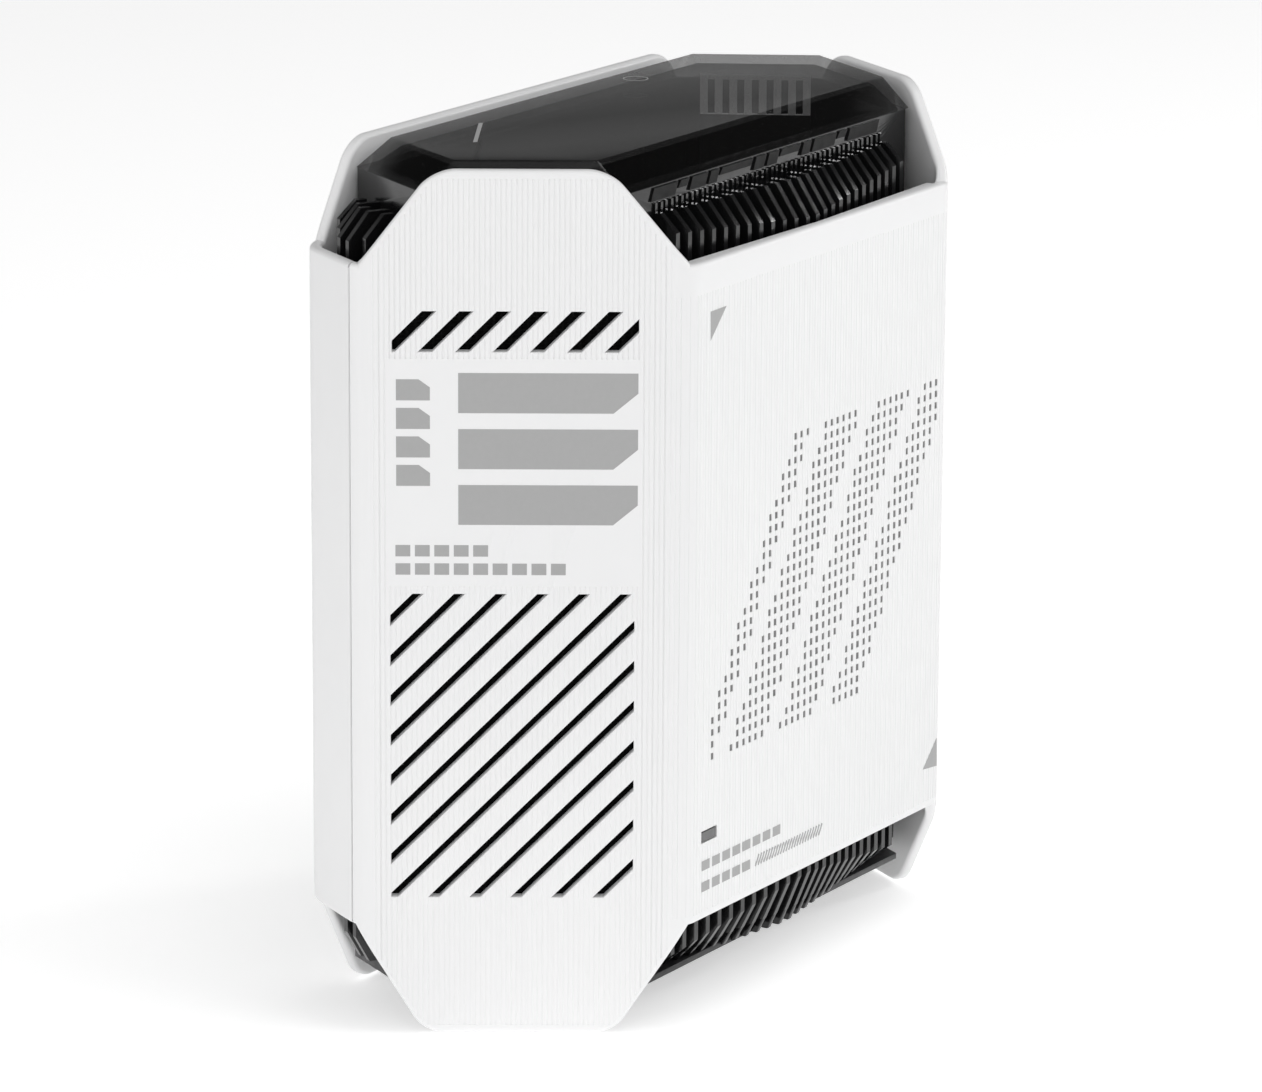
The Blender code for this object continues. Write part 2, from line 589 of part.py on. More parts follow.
def power_switch():
    """Rocker on two trunnions in its housing; it rests tilted to off and swings to on."""
    x, z, y = SWITCH_X, JACK_Z, ROCKER_PIVOT_Y
    housing = box("switch_housing", x - 6.4, x + 6.4, BOARD[1] + GAP, JACK_FRONT + 0.3, z - 9.2, z + 9.2,
                  "black_plastic")
    boolean(housing, box("switch_well", x - 4.9, x + 4.9, 24.0, 40, z - 7.5, z + 7.5))
    boolean(housing, rod("trunnion_holes", (x - 5.8, y, z), (x + 5.8, y, z), 1.7, None, 16))
    profile = [(-3.0, -4.2), (-3.0, 4.2), (2.6, 6.6), (4.6, 6.4), (3.3, 0.0), (4.6, -6.4), (2.6, -6.6)]
    bm = bmesh.new()
    prism_into(bm, profile, -4.5, 4.5)
    turn = Matrix(((0, 0, 1), (1, 0, 0), (0, 1, 0))).to_4x4()
    tilt = Matrix.Rotation(math.radians(-ROCKER_TILT), 4, "X")
    bmesh.ops.transform(bm, matrix=Matrix.Translation((x, y, z)) @ tilt @ turn, verts=bm.verts)
    rocker = add_object("power_switch", bm, "black_plastic", (x, y, z))
    boolean(rocker, rod("trunnions", (x - 5.5, y, z), (x + 5.5, y, z), 1.3, None, 16), "UNION")


def sprung_button(name, x, radius, front):
    """Push button with a collar behind the panel, and the small switch that it presses."""
    bm = bmesh.new()
    profile = [(0, PANEL[0] - 5.0), (radius - 0.6, PANEL[0] - 5.0), (radius - 0.6, PANEL[0] - 2.4),
               (radius + 1.0, PANEL[0] - 2.4), (radius + 1.0, PANEL[0] - 0.5), (radius, PANEL[0] - 0.5),
               (radius, front - 0.3), (radius - 0.3, front), (0, front)]
    verts = [bm.verts.new((r, y, 0)) for r, y in profile]
    edges = [bm.edges.new(pair) for pair in zip(verts, verts[1:])]
    bmesh.ops.spin(bm, geom=verts + edges, cent=(0, 0, 0), axis=(0, 1, 0), angle=math.tau, steps=20)
    bmesh.ops.remove_doubles(bm, verts=bm.verts, dist=0.001)
    bmesh.ops.translate(bm, verts=bm.verts, vec=(x, 0, BUTTON_Z))
    add_object(name, bm, "black_plastic", (x, PANEL[0], BUTTON_Z))
    tact = box(f"{name}_tact_switch", x - 3, x + 3, BOARD[1] + GAP, 23.0, BUTTON_Z - 3, BUTTON_Z + 3, "steel")
    boolean(tact, rod(f"{name}_plunger", (x, 20, BUTTON_Z), (x, 26.0, BUTTON_Z), 1.5, None, 12), "UNION")


def connector_panel():
    """Black panel in the bay, with a hole for each connector and button."""
    left, right, low, high = BAY
    outline = [(left - 3, low - 3), (right + 3, low - 3), (right + 3, high + 3), (left - 3, high + 3)]
    bm = bmesh.new()
    prism_into(bm, outline, -PANEL[1], -PANEL[0], (3, 3, 3, 3), 2)
    bmesh.ops.transform(bm, matrix=Matrix.Rotation(math.radians(90), 4, "X"), verts=bm.verts)
    panel = add_object("connector_panel", bm, "black_plastic")
    holes = bmesh.new()
    y0, y1 = PANEL[0] - 1, PANEL[1] + 1
    for x in JACK_X.values():
        box_into(holes, x - 8.4, x + 8.4, y0, y1, JACK_Z - 7.2, JACK_Z + 7.2)
    box_into(holes, USB_X - 7.5, USB_X + 7.5, y0, y1, JACK_Z - 3.6, JACK_Z + 3.6)
    box_into(holes, DC_X - 5.9, DC_X + 5.9, y0, y1, JACK_Z - 5.9, JACK_Z + 5.9)
    box_into(holes, SWITCH_X - 6.7, SWITCH_X + 6.7, y0, y1, JACK_Z - 9.5, JACK_Z + 9.5)
    rod_into(holes, (DC_X, y0, BUTTON_Z), (DC_X, y1, BUTTON_Z), 3.4, 24)
    rod_into(holes, (SWITCH_X, y0, BUTTON_Z), (SWITCH_X, y1, BUTTON_Z), 1.7, 20)
    boolean(panel, add_object("panel_holes", holes))


def connector_bay():
    """Everything in the rear window."""
    connector_panel()
    for name, x in JACK_X.items():
        network_jack(name, x)
    usb_port()
    dc_inlet()
    power_switch()
    sprung_button("pairing_button", DC_X, 3.0, PANEL[1] + 0.9)
    sprung_button("reset_button", SWITCH_X, 1.4, PANEL[1] - 0.9)


def main():
    """Build the router."""
    start_scene()
    for name, values in FINISHES.items():
        material(name, *values)
    top_cut = notch_cutter("top_notches", NOTCH_TOP, 190)
    foot_cut = notch_cutter("foot_notches", -12, NOTCH_FOOT)
    front_shell(top_cut, foot_cut, slot_cutter())
    rear_shell(top_cut, foot_cut)
    front_trim()
    slot_screens()
    smoked_lid()
    under_lid()
    finned_frame("upper_frame", CORE_INSETS, UPPER_FRAME, True)
    finned_frame("lower_frame", LOWER_CORE_INSETS, LOWER_FRAME, False)
    base()
    main_board()
    antennas()
    connector_bay()


main()
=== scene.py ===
import math

import bmesh
import bpy
from mathutils import Matrix, Vector


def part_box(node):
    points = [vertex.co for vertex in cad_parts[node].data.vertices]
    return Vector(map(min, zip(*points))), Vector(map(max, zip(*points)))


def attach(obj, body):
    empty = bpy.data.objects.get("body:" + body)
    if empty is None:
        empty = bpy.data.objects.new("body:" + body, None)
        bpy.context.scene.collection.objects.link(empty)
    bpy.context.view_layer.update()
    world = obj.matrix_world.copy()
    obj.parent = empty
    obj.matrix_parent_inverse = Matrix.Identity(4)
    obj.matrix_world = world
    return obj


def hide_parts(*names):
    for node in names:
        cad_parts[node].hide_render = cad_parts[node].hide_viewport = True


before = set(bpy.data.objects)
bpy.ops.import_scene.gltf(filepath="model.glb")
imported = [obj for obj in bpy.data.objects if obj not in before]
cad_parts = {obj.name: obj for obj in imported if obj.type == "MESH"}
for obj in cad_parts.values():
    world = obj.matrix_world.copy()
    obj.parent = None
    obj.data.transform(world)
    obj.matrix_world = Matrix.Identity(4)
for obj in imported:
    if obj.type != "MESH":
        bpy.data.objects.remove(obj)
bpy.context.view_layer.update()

# Looks of the wireless router. Sizes below are in millimetres; a mesh is scaled to metres when it is made.
MM = 0.001


def node_box(name):
    """Lowest and highest corner of a fixed node, in millimetres."""
    low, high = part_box(name)
    return low / MM, high / MM


# ---- body, read from the fixed nodes where they give it ----
FRONT_LOW, FRONT_HIGH = node_box("front_shell")
REAR_LOW, REAR_HIGH = node_box("rear_shell")
LID_LOW, LID_HIGH = node_box("smoked_lid")
HALF_DEPTH = -FRONT_LOW.y
TAB_FOOT = FRONT_LOW.z
TAB_TOP = FRONT_HIGH.z
PARTING_Y = (FRONT_HIGH.y + REAR_LOW.y) / 2
SEAM_GAP = REAR_LOW.y - FRONT_HIGH.y
TIP_X = 86.95
TIP_Y = 17.3
FRONT_HALF = 52.0
END_ANGLE = 60.0
CORNERS = (7.0, 7.0, 6.0, 11.0, 11.0, 6.0)
WALL = 2.6
NOTCH_TOP = 156.6
NOTCH_FOOT = 22.5
TAB_RADIUS = 9.0
FOOT_RADIUS = 6.5
LIP_HALF = 47.5           # thickening inside the rim of the front face
LIP_REACH = 1.4
LIP_FOOT = 152.5
EDGE_ROUND = 0.9          # soft edge round the tabs and notches
SMALL_ROUND = 0.14        # broken edge of vents and windows
SMALLEST_RIM = 0.3        # smallest face of a rim, in square millimetres
RIM_CLEAR = (27.0, 152.0)  # no rim lies between these heights
SEAM_SLACK = 0.03         # between a seam strip and the halves of the shell
SEAM_DEPTH = 0.2          # groove left above a seam strip

# ---- vents, along a tall end face from its tip and up from the floor ----
VENT_ROWS = {
    "upper": {"field": (7.4, 55.4, 139.5, 147.6), "width": 2.8, "first": 5.2, "pitch": 7.25, "count": 7},
    "lower": {"field": (6.9, 54.8, 28.8, 91.0), "width": 2.2, "first": -50.9, "pitch": 8.14, "count": 13},
}

# ---- fine upright grooves that leave the ribs of the shell standing ----
RIB_PITCH = 1.03
RIB_START = 3.0           # smooth border beside a tip
RIB_END_GAP = 1.7         # smooth border under a tab's edge
RIB_WIDTH = 0.34
RIB_DEPTH = 0.075
CREASE_Z = 150.4          # ribs of the front face stop here
PRINT_PANEL = (6.4, 55.6, 92.6, 138.2)  # smooth part of a tall end face, under its print
SCREEN_PITCH = 0.9        # between the wires of the screens behind the vents

# ---- prints, each in the frame of the face that it lies on ----
INK = (0.005, 0.03)       # lower and upper side of a printed shape
LONG_BAR = ((20.3, 0.0), (50.5, 0.0), (55.3, 4.0), (55.3, 8.0), (20.3, 8.0))
LONG_BAR_FEET = (105.0, 116.2, 127.4)
SHORT_BAR = ((8.2, 0.0), (14.8, 0.0), (14.8, 2.6), (12.6, 4.2), (8.2, 4.2))
SHORT_BAR_FEET = (112.8, 118.5, 124.2, 129.9)
END_DASH = (8.0, 3.8, 2.9, 2.3)       # where a row starts, then pitch, length and height of its dashes
END_ROWS = ((98.6, 5), (94.9, 9))     # foot of each row and how many dashes it has
FRONT_DASH = (-46.2, 3.95, 3.0, 2.0)
FRONT_ROWS = ((32.8, 8), (28.4, 5))
TRIANGLES = [((-44.7, 146.4), (-44.6, 140.6), (-38.7, 146.5)), ((49.3, 37.2), (43.5, 31.6), (49.5, 31.0))]
HATCH = {"first": -24.6, "pitch": 1.1, "count": 24, "middle": 29.5, "length": 2.6, "lean": 0.55, "width": 0.46}

# ---- lid ----
LID_TOP_INSETS = (19.1, 7.2, 20.3, 9.4)
LID_SKIRT_INSETS = (12.9, 3.6, 14.1, 3.6)
LID_WALL = 1.8
LID_ROUND = 0.45          # its upper edges
MARK_HEIGHT = 0.03        # lid marks stand this much above its top
LID_RING = (24.8, 22.6)
LID_RING_RADIUS = 2.4
LID_RING_LINE = 0.26
LID_DASH = ((-52.6, 11.6), (-35.0, 21.8))
LID_DASH_HALF = 0.3

# ---- band between the lid's skirt and the fins ----
FRAME_INSET = 13.4
BAND_HALF = 46.0
BAND_LOW = 166.9
BAND_HIGH = 169.4
BAND_BLOCKS = (9.0, 3.2, 6.0, 3.2, 12.0, 4.0, 4.0, 7.5, 3.2, 9.0, 3.2, 12.0)
BLOCK_GAP = 1.1
BLOCK_SLANT = 1.2
BLOCK_RISE = 0.42
SMALL_RIBS = (164.4, 166.4)
SMALL_RIB_PITCH = 1.92

# ---- louvre under the lid ----
# Feet and tops of the louvre's bars, between which their painted highlight and glow run.
LOUVRE_FOOT = 165.0
LOUVRE_TOP = 172.4

# ---- connector bay ----
BAY_WINDOW = (-61, 61, 26, 58)
BAY_RADIUS = 3
BAY_RIB_ENDS = (22.0, 62.0)   # ribs of the rear face stop below and above the bay
JACKS = ("wan_jack", "lan_jack_1", "lan_jack_2", "lan_jack_3")
JACK_PINS = 8
PIN_SLOPE = 0.42
PIN_MIDDLE_Y = 28.3
PIN_LENGTH = 7.4
PIN_DROP = 1.5
LINER = (24.1, 34.2)          # back and front of a jack's insert
LINER_HALVES = (6.0, 3.1)     # half the width of the plug's body and of its latch
LINER_LEVELS = (-5.2, -2.6, 5.4)
LINER_WALL = 0.45
LINER_GAP = 0.03
SPRING_LIFT = 3.2
USB_CONTACTS = (-3.5, -1.0, 1.0, 3.5)
INLET_PIN = (23.2, 28.5)
INLET_PIN_RADIUS = 1.16
ROCKER_PIVOT_Y = 31.0
ROCKER_TILT = 8.0
ROCKER_DISH = 3.3
ROCKER_SLOPE = math.atan2(1.3, 6.4)
PANEL_MARK_Z = 48.6
PANEL_INK = (0.0, 0.04)

# ---- base and the feet of the lower fins ----
BASE_STEP = 9.6
FOOT_FINS = 24
FOOT_PITCH = 3.84
FOOT_THICK = 1.4
FOOT_REACH = (5.5, 10.4)      # how far the fins stand out, at the ends and in the middle
FOOT_KNEE = (13.4, 19.8)
FOOT_JOIN = 11.85
FOOT_TAPER = 2.2
FOOT_DROP = 1.3
FOOT_CLEAR = 3.3
BASE_VENT_Y = -6.0
BASE_VENT_PITCH = 3.4
BASE_VENTS = 9

# ---- small windows in the front face, kept only in slanting bands ----
CELL_PITCH = (2.4, 2.46)
CELL_SIZE = (1.0, 1.4)
CELL_FIELD = (55.0, 115.5)
CELL_MIDDLE = 2.0
CELL_COLUMNS = 38
CELL_SLANT = -0.62
CELL_BAND = 14.2
CELL_REPEAT = 19.8
CELL_REACH = 0.36         # share of the field's width that the bands reach to either side
CELL_GLASS = WALL - 0.3   # thickness of the insert in a window
CELL_SUNK = 0.18          # how far the insert lies below the face


# ======== meshes
def linked(name, mesh):
    """A mesh as an object of the scene."""
    obj = bpy.data.objects.new(name, mesh)
    bpy.context.scene.collection.objects.link(obj)
    return obj


def finish_object(name, bm, material=None):
    """Turn a bmesh in millimetres into an object in metres that sits at the origin."""
    bmesh.ops.scale(bm, verts=bm.verts, vec=(MM, MM, MM))
    bmesh.ops.recalc_face_normals(bm, faces=bm.faces)
    mesh = bpy.data.meshes.new(name)
    bm.to_mesh(mesh)
    bm.free()
    if material:
        mesh.materials.append(material)
    return linked(name, mesh)


def own_piece(obj, node_name=None, body="housing"):
    """Hang a finished piece on its body, and let it stand for a fixed node where one is named."""
    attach(obj, body)
    if node_name:
        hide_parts(node_name)


def boolean(obj, other, operation="DIFFERENCE", solver="EXACT"):
    """Cut or join with a live modifier."""
    mod = obj.modifiers.new(other.name, "BOOLEAN")
    mod.operation = operation
    mod.solver = solver
    mod.object = other
    other.hide_render = True


def bevel(obj, width, segments=2):
    """Round the edges sharper than 35 degrees."""
    mod = obj.modifiers.new("rounded", "BEVEL")
    mod.width = width * MM
    mod.segments = segments
    mod.limit_method = "ANGLE"
    mod.angle_limit = math.radians(35.0)


def settle(obj, name, smooth=28.0, matrix=None):
    """Bake the modifiers into one plain mesh, shade it and return the new object."""
    bpy.context.view_layer.update()
    depsgraph = bpy.context.evaluated_depsgraph_get()
    mesh = bpy.data.meshes.new_from_object(obj.evaluated_get(depsgraph))
    mesh.name = name
    bpy.data.objects.remove(obj)
    if matrix:
        mesh.transform(matrix)
    if smooth:
        mesh.shade_smooth()
        mesh.set_sharp_from_angle(angle=math.radians(smooth))
    return linked(name, mesh)


def drop(*objects):
    """Remove helpers once they have been used."""
    for obj in objects:
        bpy.data.objects.remove(obj)


def moved(bm, matrix):
    """Carry a bmesh to its place."""
    bmesh.ops.transform(bm, matrix=matrix, verts=bm.verts)
    return bm


def verts_of(geom):
    """The corners in what an operation made."""
    return [item for item in geom if isinstance(item, bmesh.types.BMVert)]


def corner_turn(outline, index):
    """How far an outline turns at one of its corners, in radians."""
    before, here, after = (Vector(outline[(index + k) % len(outline)]) for k in (-1, 0, 1))
    return (here - before).angle(after - here)


def prism_into(bm, outline, low, high, radii=None, segments=4):
    """Add an upright prism of a flat outline, with rounded corners where radii are given."""
    verts = [bm.verts.new((x, y, low)) for x, y in outline]
    face = bm.faces.new(verts)
    made = set(bm.faces) - {face}
    if radii:
        for vert, radius in zip(verts, radii):
            if radius > 0:
                turn = corner_turn(outline, verts.index(vert))
                bmesh.ops.bevel(bm, geom=[vert], offset=radius * math.tan(turn / 2), segments=segments,
                                profile=0.5, affect="VERTICES")
        face = (set(bm.faces) - made).pop()
    top = bmesh.ops.extrude_face_region(bm, geom=[face])["geom"]
    bmesh.ops.translate(bm, vec=(0, 0, high - low), verts=verts_of(top))


def prism(name, outline, low, high, material=None, radii=None, segments=4, place=None):
    """One prism as an object, upright or carried to its place."""
    bm = bmesh.new()
    prism_into(bm, outline, low, high, radii, segments)
    return finish_object(name, moved(bm, place) if place else bm, material)


def grown(outline, distance):
    """A convex outline with every side moved outwards."""
    sides = []
    for one, two in zip(outline, outline[1:] + outline[:1]):
        run = (Vector(two) - Vector(one)).normalized()
        out = Vector((run.y, -run.x))
        sides.append((out, out.dot(Vector(one)) + distance))
    return [crossing(sides[k - 1], sides[k]) for k in range(len(sides))]


def flared_prism_into(bm, outline, low, high, flare):
    """A cutter for a window whose outer edge is broken: straight below the surface, wider above it."""
    wide = grown(outline, 2 * flare)
    levels = ((low, outline), (-flare, outline), (flare, wide), (high, wide))
    rings = [[bm.verts.new((x, y, level)) for x, y in points] for level, points in levels]
    for foot, top in zip(rings, rings[1:]):
        for k in range(len(outline)):
            after = (k + 1) % len(outline)
            bm.faces.new((foot[k], foot[after], top[after], top[k]))
    bm.faces.new(rings[0][::-1])
    bm.faces.new(rings[-1])


def rectangle(x0, x1, y0, y1):
    """Corners of an upright rectangle, anticlockwise."""
    return [(x0, y0), (x1, y0), (x1, y1), (x0, y1)]


def box(name, x0, x1, y0, y1, z0, z1, material=None):
    """One box as an object."""
    return prism(name, rectangle(x0, x1, y0, y1), z0, z1, material)


def rod_into(bm, start, end, radius, radius_end):
    """Add a round rod, or a taper, between two points."""
    start, end = Vector(start), Vector(end)
    turn = (end - start).to_track_quat("Z", "Y").to_matrix().to_4x4()
    bmesh.ops.create_cone(bm, cap_ends=True, segments=20, radius1=radius, radius2=radius_end,
                          depth=(end - start).length, matrix=Matrix.Translation((start + end) / 2) @ turn)


# ======== node trees
def feed(tree, socket, value):
    """Link a socket to another, or set its plain value."""
    if isinstance(value, bpy.types.NodeSocket):
        tree.links.new(value, socket)
    else:
        socket.default_value = value


def node(tree, kind, inputs=None, **settings):
    """Add a node with its settings and inputs."""
    made = tree.nodes.new(kind)
    for key, value in settings.items():
        setattr(made, key, value)
    for key, value in (inputs or {}).items():
        feed(tree, made.inputs[key], value)
    return made


def geometry_tree(name, named_inputs):
    """An empty geometry tree with its named inputs; returns the tree and its input sockets."""
    tree = bpy.data.node_groups.new(name, "GeometryNodeTree")
    tree.interface.new_socket("Geometry", in_out="INPUT", socket_type="NodeSocketGeometry")
    for label, kind in named_inputs.items():
        tree.interface.new_socket(label, in_out="INPUT", socket_type=f"NodeSocket{kind}")
    tree.interface.new_socket("Geometry", in_out="OUTPUT", socket_type="NodeSocketGeometry")
    start = tree.nodes.new("NodeGroupInput")
    return tree, start.outputs


def close_tree(tree, instances, material_socket):
    """Realise the copies, set their material and send them out."""
    real = node(tree, "GeometryNodeRealizeInstances", {"Geometry": instances})
    painted = node(tree, "GeometryNodeSetMaterial",
                   {"Geometry": real.outputs["Geometry"], "Material": material_socket})
    node(tree, "NodeGroupOutput", {"Geometry": painted.outputs["Geometry"]})


def grow(obj, tree, values):
    """Put a geometry tree on an object and set its inputs by their sockets' identifiers."""
    mod = obj.modifiers.new(tree.name, "NODES")
    mod.node_group = tree
    for item in tree.interface.items_tree:
        if item.item_type == "SOCKET" and item.in_out == "INPUT" and item.name in values:
            mod[item.identifier] = values[item.name]
def maths(tree, operation, *values):
    """One Math node; returns its output."""
    return node(tree, "ShaderNodeMath", dict(enumerate(values)), operation=operation).outputs[0]


def bar_tree():
    """Bars standing on points, each with its own length, heading and lean; every second one can be deeper."""
    tree, given = geometry_tree("bars_on_points", {"Width": "Float", "Depth": "Float", "Extra": "Float",
                                                   "Section turn": "Float", "Material": "Material"})
    bar = node(tree, "GeometryNodeMeshCube", {"Size": (1.0, 1.0, 1.0)})
    turn = node(tree, "ShaderNodeCombineXYZ", {"Z": given["Section turn"]})
    diamond = node(tree, "GeometryNodeTransform",
                   {"Geometry": bar.outputs["Mesh"], "Rotation": turn.outputs[0]})
    length, heading, lean = (node(tree, "GeometryNodeInputNamedAttribute", {"Name": label}).outputs["Attribute"]
                             for label in ("length", "heading", "lean"))
    index = tree.nodes.new("GeometryNodeInputIndex").outputs[0]
    odd = maths(tree, "MODULO", index, 2.0)
    more = maths(tree, "MULTIPLY_ADD", odd, given["Extra"], 1.0)
    deep = maths(tree, "MULTIPLY", given["Depth"], more)
    size = node(tree, "ShaderNodeCombineXYZ", {"X": given["Width"], "Y": deep, "Z": length})
    aim = node(tree, "ShaderNodeCombineXYZ", {"Y": lean, "Z": heading})
    points = node(tree, "GeometryNodeMeshToPoints", {"Mesh": given["Geometry"]})
    copies = node(tree, "GeometryNodeInstanceOnPoints",
                  {"Points": points.outputs["Points"], "Instance": diamond.outputs["Geometry"],
                   "Rotation": aim.outputs[0], "Scale": size.outputs[0]})
    close_tree(tree, copies.outputs["Instances"], given["Material"])
    return tree


def bars(name, places, width, depth, material=None, extra=0.0, section_turn=0.0):
    """Bars from a list of (x, y, z, length, heading, lean) in millimetres and radians, as one mesh."""
    columns = {"length": (3, MM), "heading": (4, 1.0), "lean": (5, 1.0)}
    mesh = bpy.data.meshes.new(name)
    mesh.from_pydata([(x * MM, y * MM, z * MM) for x, y, z, *_ in places], [], [])
    for label, (column, scale) in columns.items():
        values = mesh.attributes.new(label, "FLOAT", "POINT")
        values.data.foreach_set("value", [place[column] * scale for place in places])
    obj = linked(name, mesh)
    grow(obj, bpy.data.node_groups.get("bars_on_points") or bar_tree(),
         {"Width": width * MM, "Depth": depth * MM, "Extra": extra, "Section turn": section_turn,
          "Material": material})
    made = settle(obj, name, 0)
    for label in columns:
        if label in made.data.attributes:
            made.data.attributes.remove(made.data.attributes[label])
    return made


def cell_tree():
    """A flat field of small boxes kept only in slanting bands."""
    tree, given = geometry_tree("banded_cells", {"Columns": "Int", "Rows": "Int", "Pitch X": "Float",
                                                 "Pitch Y": "Float", "Cell": "Vector", "Slant": "Float",
                                                 "Band": "Float", "Repeat": "Float", "Material": "Material"})
    wide = maths(tree, "MULTIPLY", given["Pitch X"], maths(tree, "SUBTRACT", given["Columns"], 1.0))
    tall = maths(tree, "MULTIPLY", given["Pitch Y"], maths(tree, "SUBTRACT", given["Rows"], 1.0))
    grid = node(tree, "GeometryNodeMeshGrid", {"Size X": wide, "Size Y": tall,
                                               "Vertices X": given["Columns"], "Vertices Y": given["Rows"]})
    spot = tree.nodes.new("GeometryNodeInputPosition").outputs[0]
    place = node(tree, "ShaderNodeSeparateXYZ", {"Vector": spot})
    along = maths(tree, "MULTIPLY_ADD", place.outputs["Y"], given["Slant"], place.outputs["X"])
    phase = maths(tree, "FLOORED_MODULO", along, given["Repeat"])
    inside = maths(tree, "LESS_THAN", phase, given["Band"])
    reach = maths(tree, "LESS_THAN", maths(tree, "ABSOLUTE", along), maths(tree, "MULTIPLY", wide, CELL_REACH))
    keep = maths(tree, "MULTIPLY", inside, reach)
    points = node(tree, "GeometryNodeMeshToPoints", {"Mesh": grid.outputs["Mesh"], "Selection": keep})
    cell = node(tree, "GeometryNodeMeshCube", {"Size": given["Cell"]})
    copies = node(tree, "GeometryNodeInstanceOnPoints",
                  {"Points": points.outputs["Points"], "Instance": cell.outputs["Mesh"]})
    close_tree(tree, copies.outputs["Instances"], given["Material"])
    return tree


# ======== plan of the body
TALL_RUN = Vector((TIP_X - FRONT_HALF, TIP_Y + HALF_DEPTH)).normalized()
END_RUN = Vector((-math.cos(math.radians(END_ANGLE)), math.sin(math.radians(END_ANGLE))))
FACE_LENGTH = math.hypot(TIP_X - FRONT_HALF, TIP_Y + HALF_DEPTH)


def face_line(point, run, inset):
    """A face of the plan as an outward normal and its distance from the middle."""
    normal = Vector((run.y, -run.x))
    return normal, normal.dot(Vector(point)) - inset


def crossing(one, two):
    """Where two face lines meet."""
    (a, p), (b, q) = one, two
    det = a.x * b.y - a.y * b.x
    return ((p * b.y - q * a.y) / det, (a.x * q - b.x * p) / det)


def plan(front, tall_end, short_end, rear):
    """The body's hexagon with each kind of face moved inwards, anticlockwise from front left."""
    faces = [face_line((0, -HALF_DEPTH), Vector((1, 0)), front),
             face_line((TIP_X, TIP_Y), TALL_RUN, tall_end),
             face_line((TIP_X, TIP_Y), END_RUN, short_end),
             face_line((0, HALF_DEPTH), Vector((-1, 0)), rear)]
    right = [crossing(faces[k], faces[k + 1]) for k in range(3)]
    return [(-right[0][0], right[0][1]), *right, (-right[2][0], right[2][1]), (-right[1][0], right[1][1])]


UPRIGHT = Matrix(((1, 0, 0), (0, 0, -1), (0, 1, 0))).to_4x4()     # x to the right, y up, z to the front
BACKWARD = Matrix(((-1, 0, 0), (0, 0, 1), (0, 1, 0))).to_4x4()    # x to the left, y up, z to the back


def tall_face_frame():
    """Frame on the left tall end face: x along it from the tip, y up, z outwards."""
    along = Vector((TALL_RUN.x, -TALL_RUN.y, 0))
    up = Vector((0, 0, 1))
    turn = Matrix((along, up, along.cross(up))).transposed().to_4x4()
    return Matrix.Translation((-TIP_X, TIP_Y, 0)) @ turn


def front_face_frame():
    """Frame on the front face."""
    return Matrix.Translation((0, -HALF_DEPTH, 0)) @ UPRIGHT


def rear_face_frame(y=HALF_DEPTH):
    """Frame on the rear face, or on a plane that lies in it."""
    return Matrix.Translation((0, y, 0)) @ BACKWARD


def metres(matrix):
    """The same placing for a mesh that is already in metres."""
    moved = matrix.copy()
    moved.translation *= MM
    return moved


def mirror_copy(bm):
    """Add the mirror image across the middle plane."""
    copy = bmesh.ops.duplicate(bm, geom=list(bm.verts) + list(bm.edges) + list(bm.faces))["geom"]
    bmesh.ops.scale(bm, verts=verts_of(copy), vec=(-1, 1, 1))
    bmesh.ops.reverse_faces(bm, faces=[g for g in copy if isinstance(g, bmesh.types.BMFace)])


# ======== materials
def principled(name, colour, roughness, metallic=0.0, **sockets):
    """A material with its shader set; returns the material, its tree and the shader."""
    mat = bpy.data.materials.new(name)
    mat.use_nodes = True
    tree = mat.node_tree
    shader = tree.nodes["Principled BSDF"]
    shader.inputs["Base Color"].default_value = (*colour, 1.0)
    shader.inputs["Roughness"].default_value = roughness
    shader.inputs["Metallic"].default_value = metallic
    for label, value in sockets.items():
        shader.inputs[label.replace("_", " ")].default_value = value
    return mat, tree, shader


def object_place(tree):
    """Object coordinates."""
    return tree.nodes.new("ShaderNodeTexCoord").outputs["Object"]


def grain(tree, scale, detail=3.0, rough=0.6, stretch=(1, 1, 1)):
    """Noise on object coordinates, finer along some axes where stretched."""
    place = node(tree, "ShaderNodeMapping", {"Vector": object_place(tree), "Scale": stretch})
    made = node(tree, "ShaderNodeTexNoise", {"Vector": place.outputs[0], "Scale": scale, "Detail": detail,
                                             "Roughness": rough})
    return made.outputs["Fac"]


def ramp(tree, value, start, end, low, high, kind="LINEAR"):
    """Carry a value from one range to another and hold it at both ends."""
    given = {"Value": value, "From Min": start, "From Max": end, "To Min": low, "To Max": high}
    return node(tree, "ShaderNodeMapRange", given, interpolation_type=kind).outputs[0]


def spread(tree, fac, low, high):
    """Spread the middle of a grain over a range."""
    return ramp(tree, fac, 0.3, 0.7, low, high)


def tint(tree, shader, fac, one, two):
    """Let the colour wander between two tones."""
    made = node(tree, "ShaderNodeMix", {"Factor": fac, 6: (*one, 1.0), 7: (*two, 1.0)}, data_type="RGBA")
    tree.links.new(made.outputs[2], shader.inputs["Base Color"])


def bump(tree, shader, height, strength, distance):
    """Raise the surface by a height value."""
    made = node(tree, "ShaderNodeBump", {"Height": height, "Strength": strength, "Distance": distance * MM})
    tree.links.new(made.outputs["Normal"], shader.inputs["Normal"])


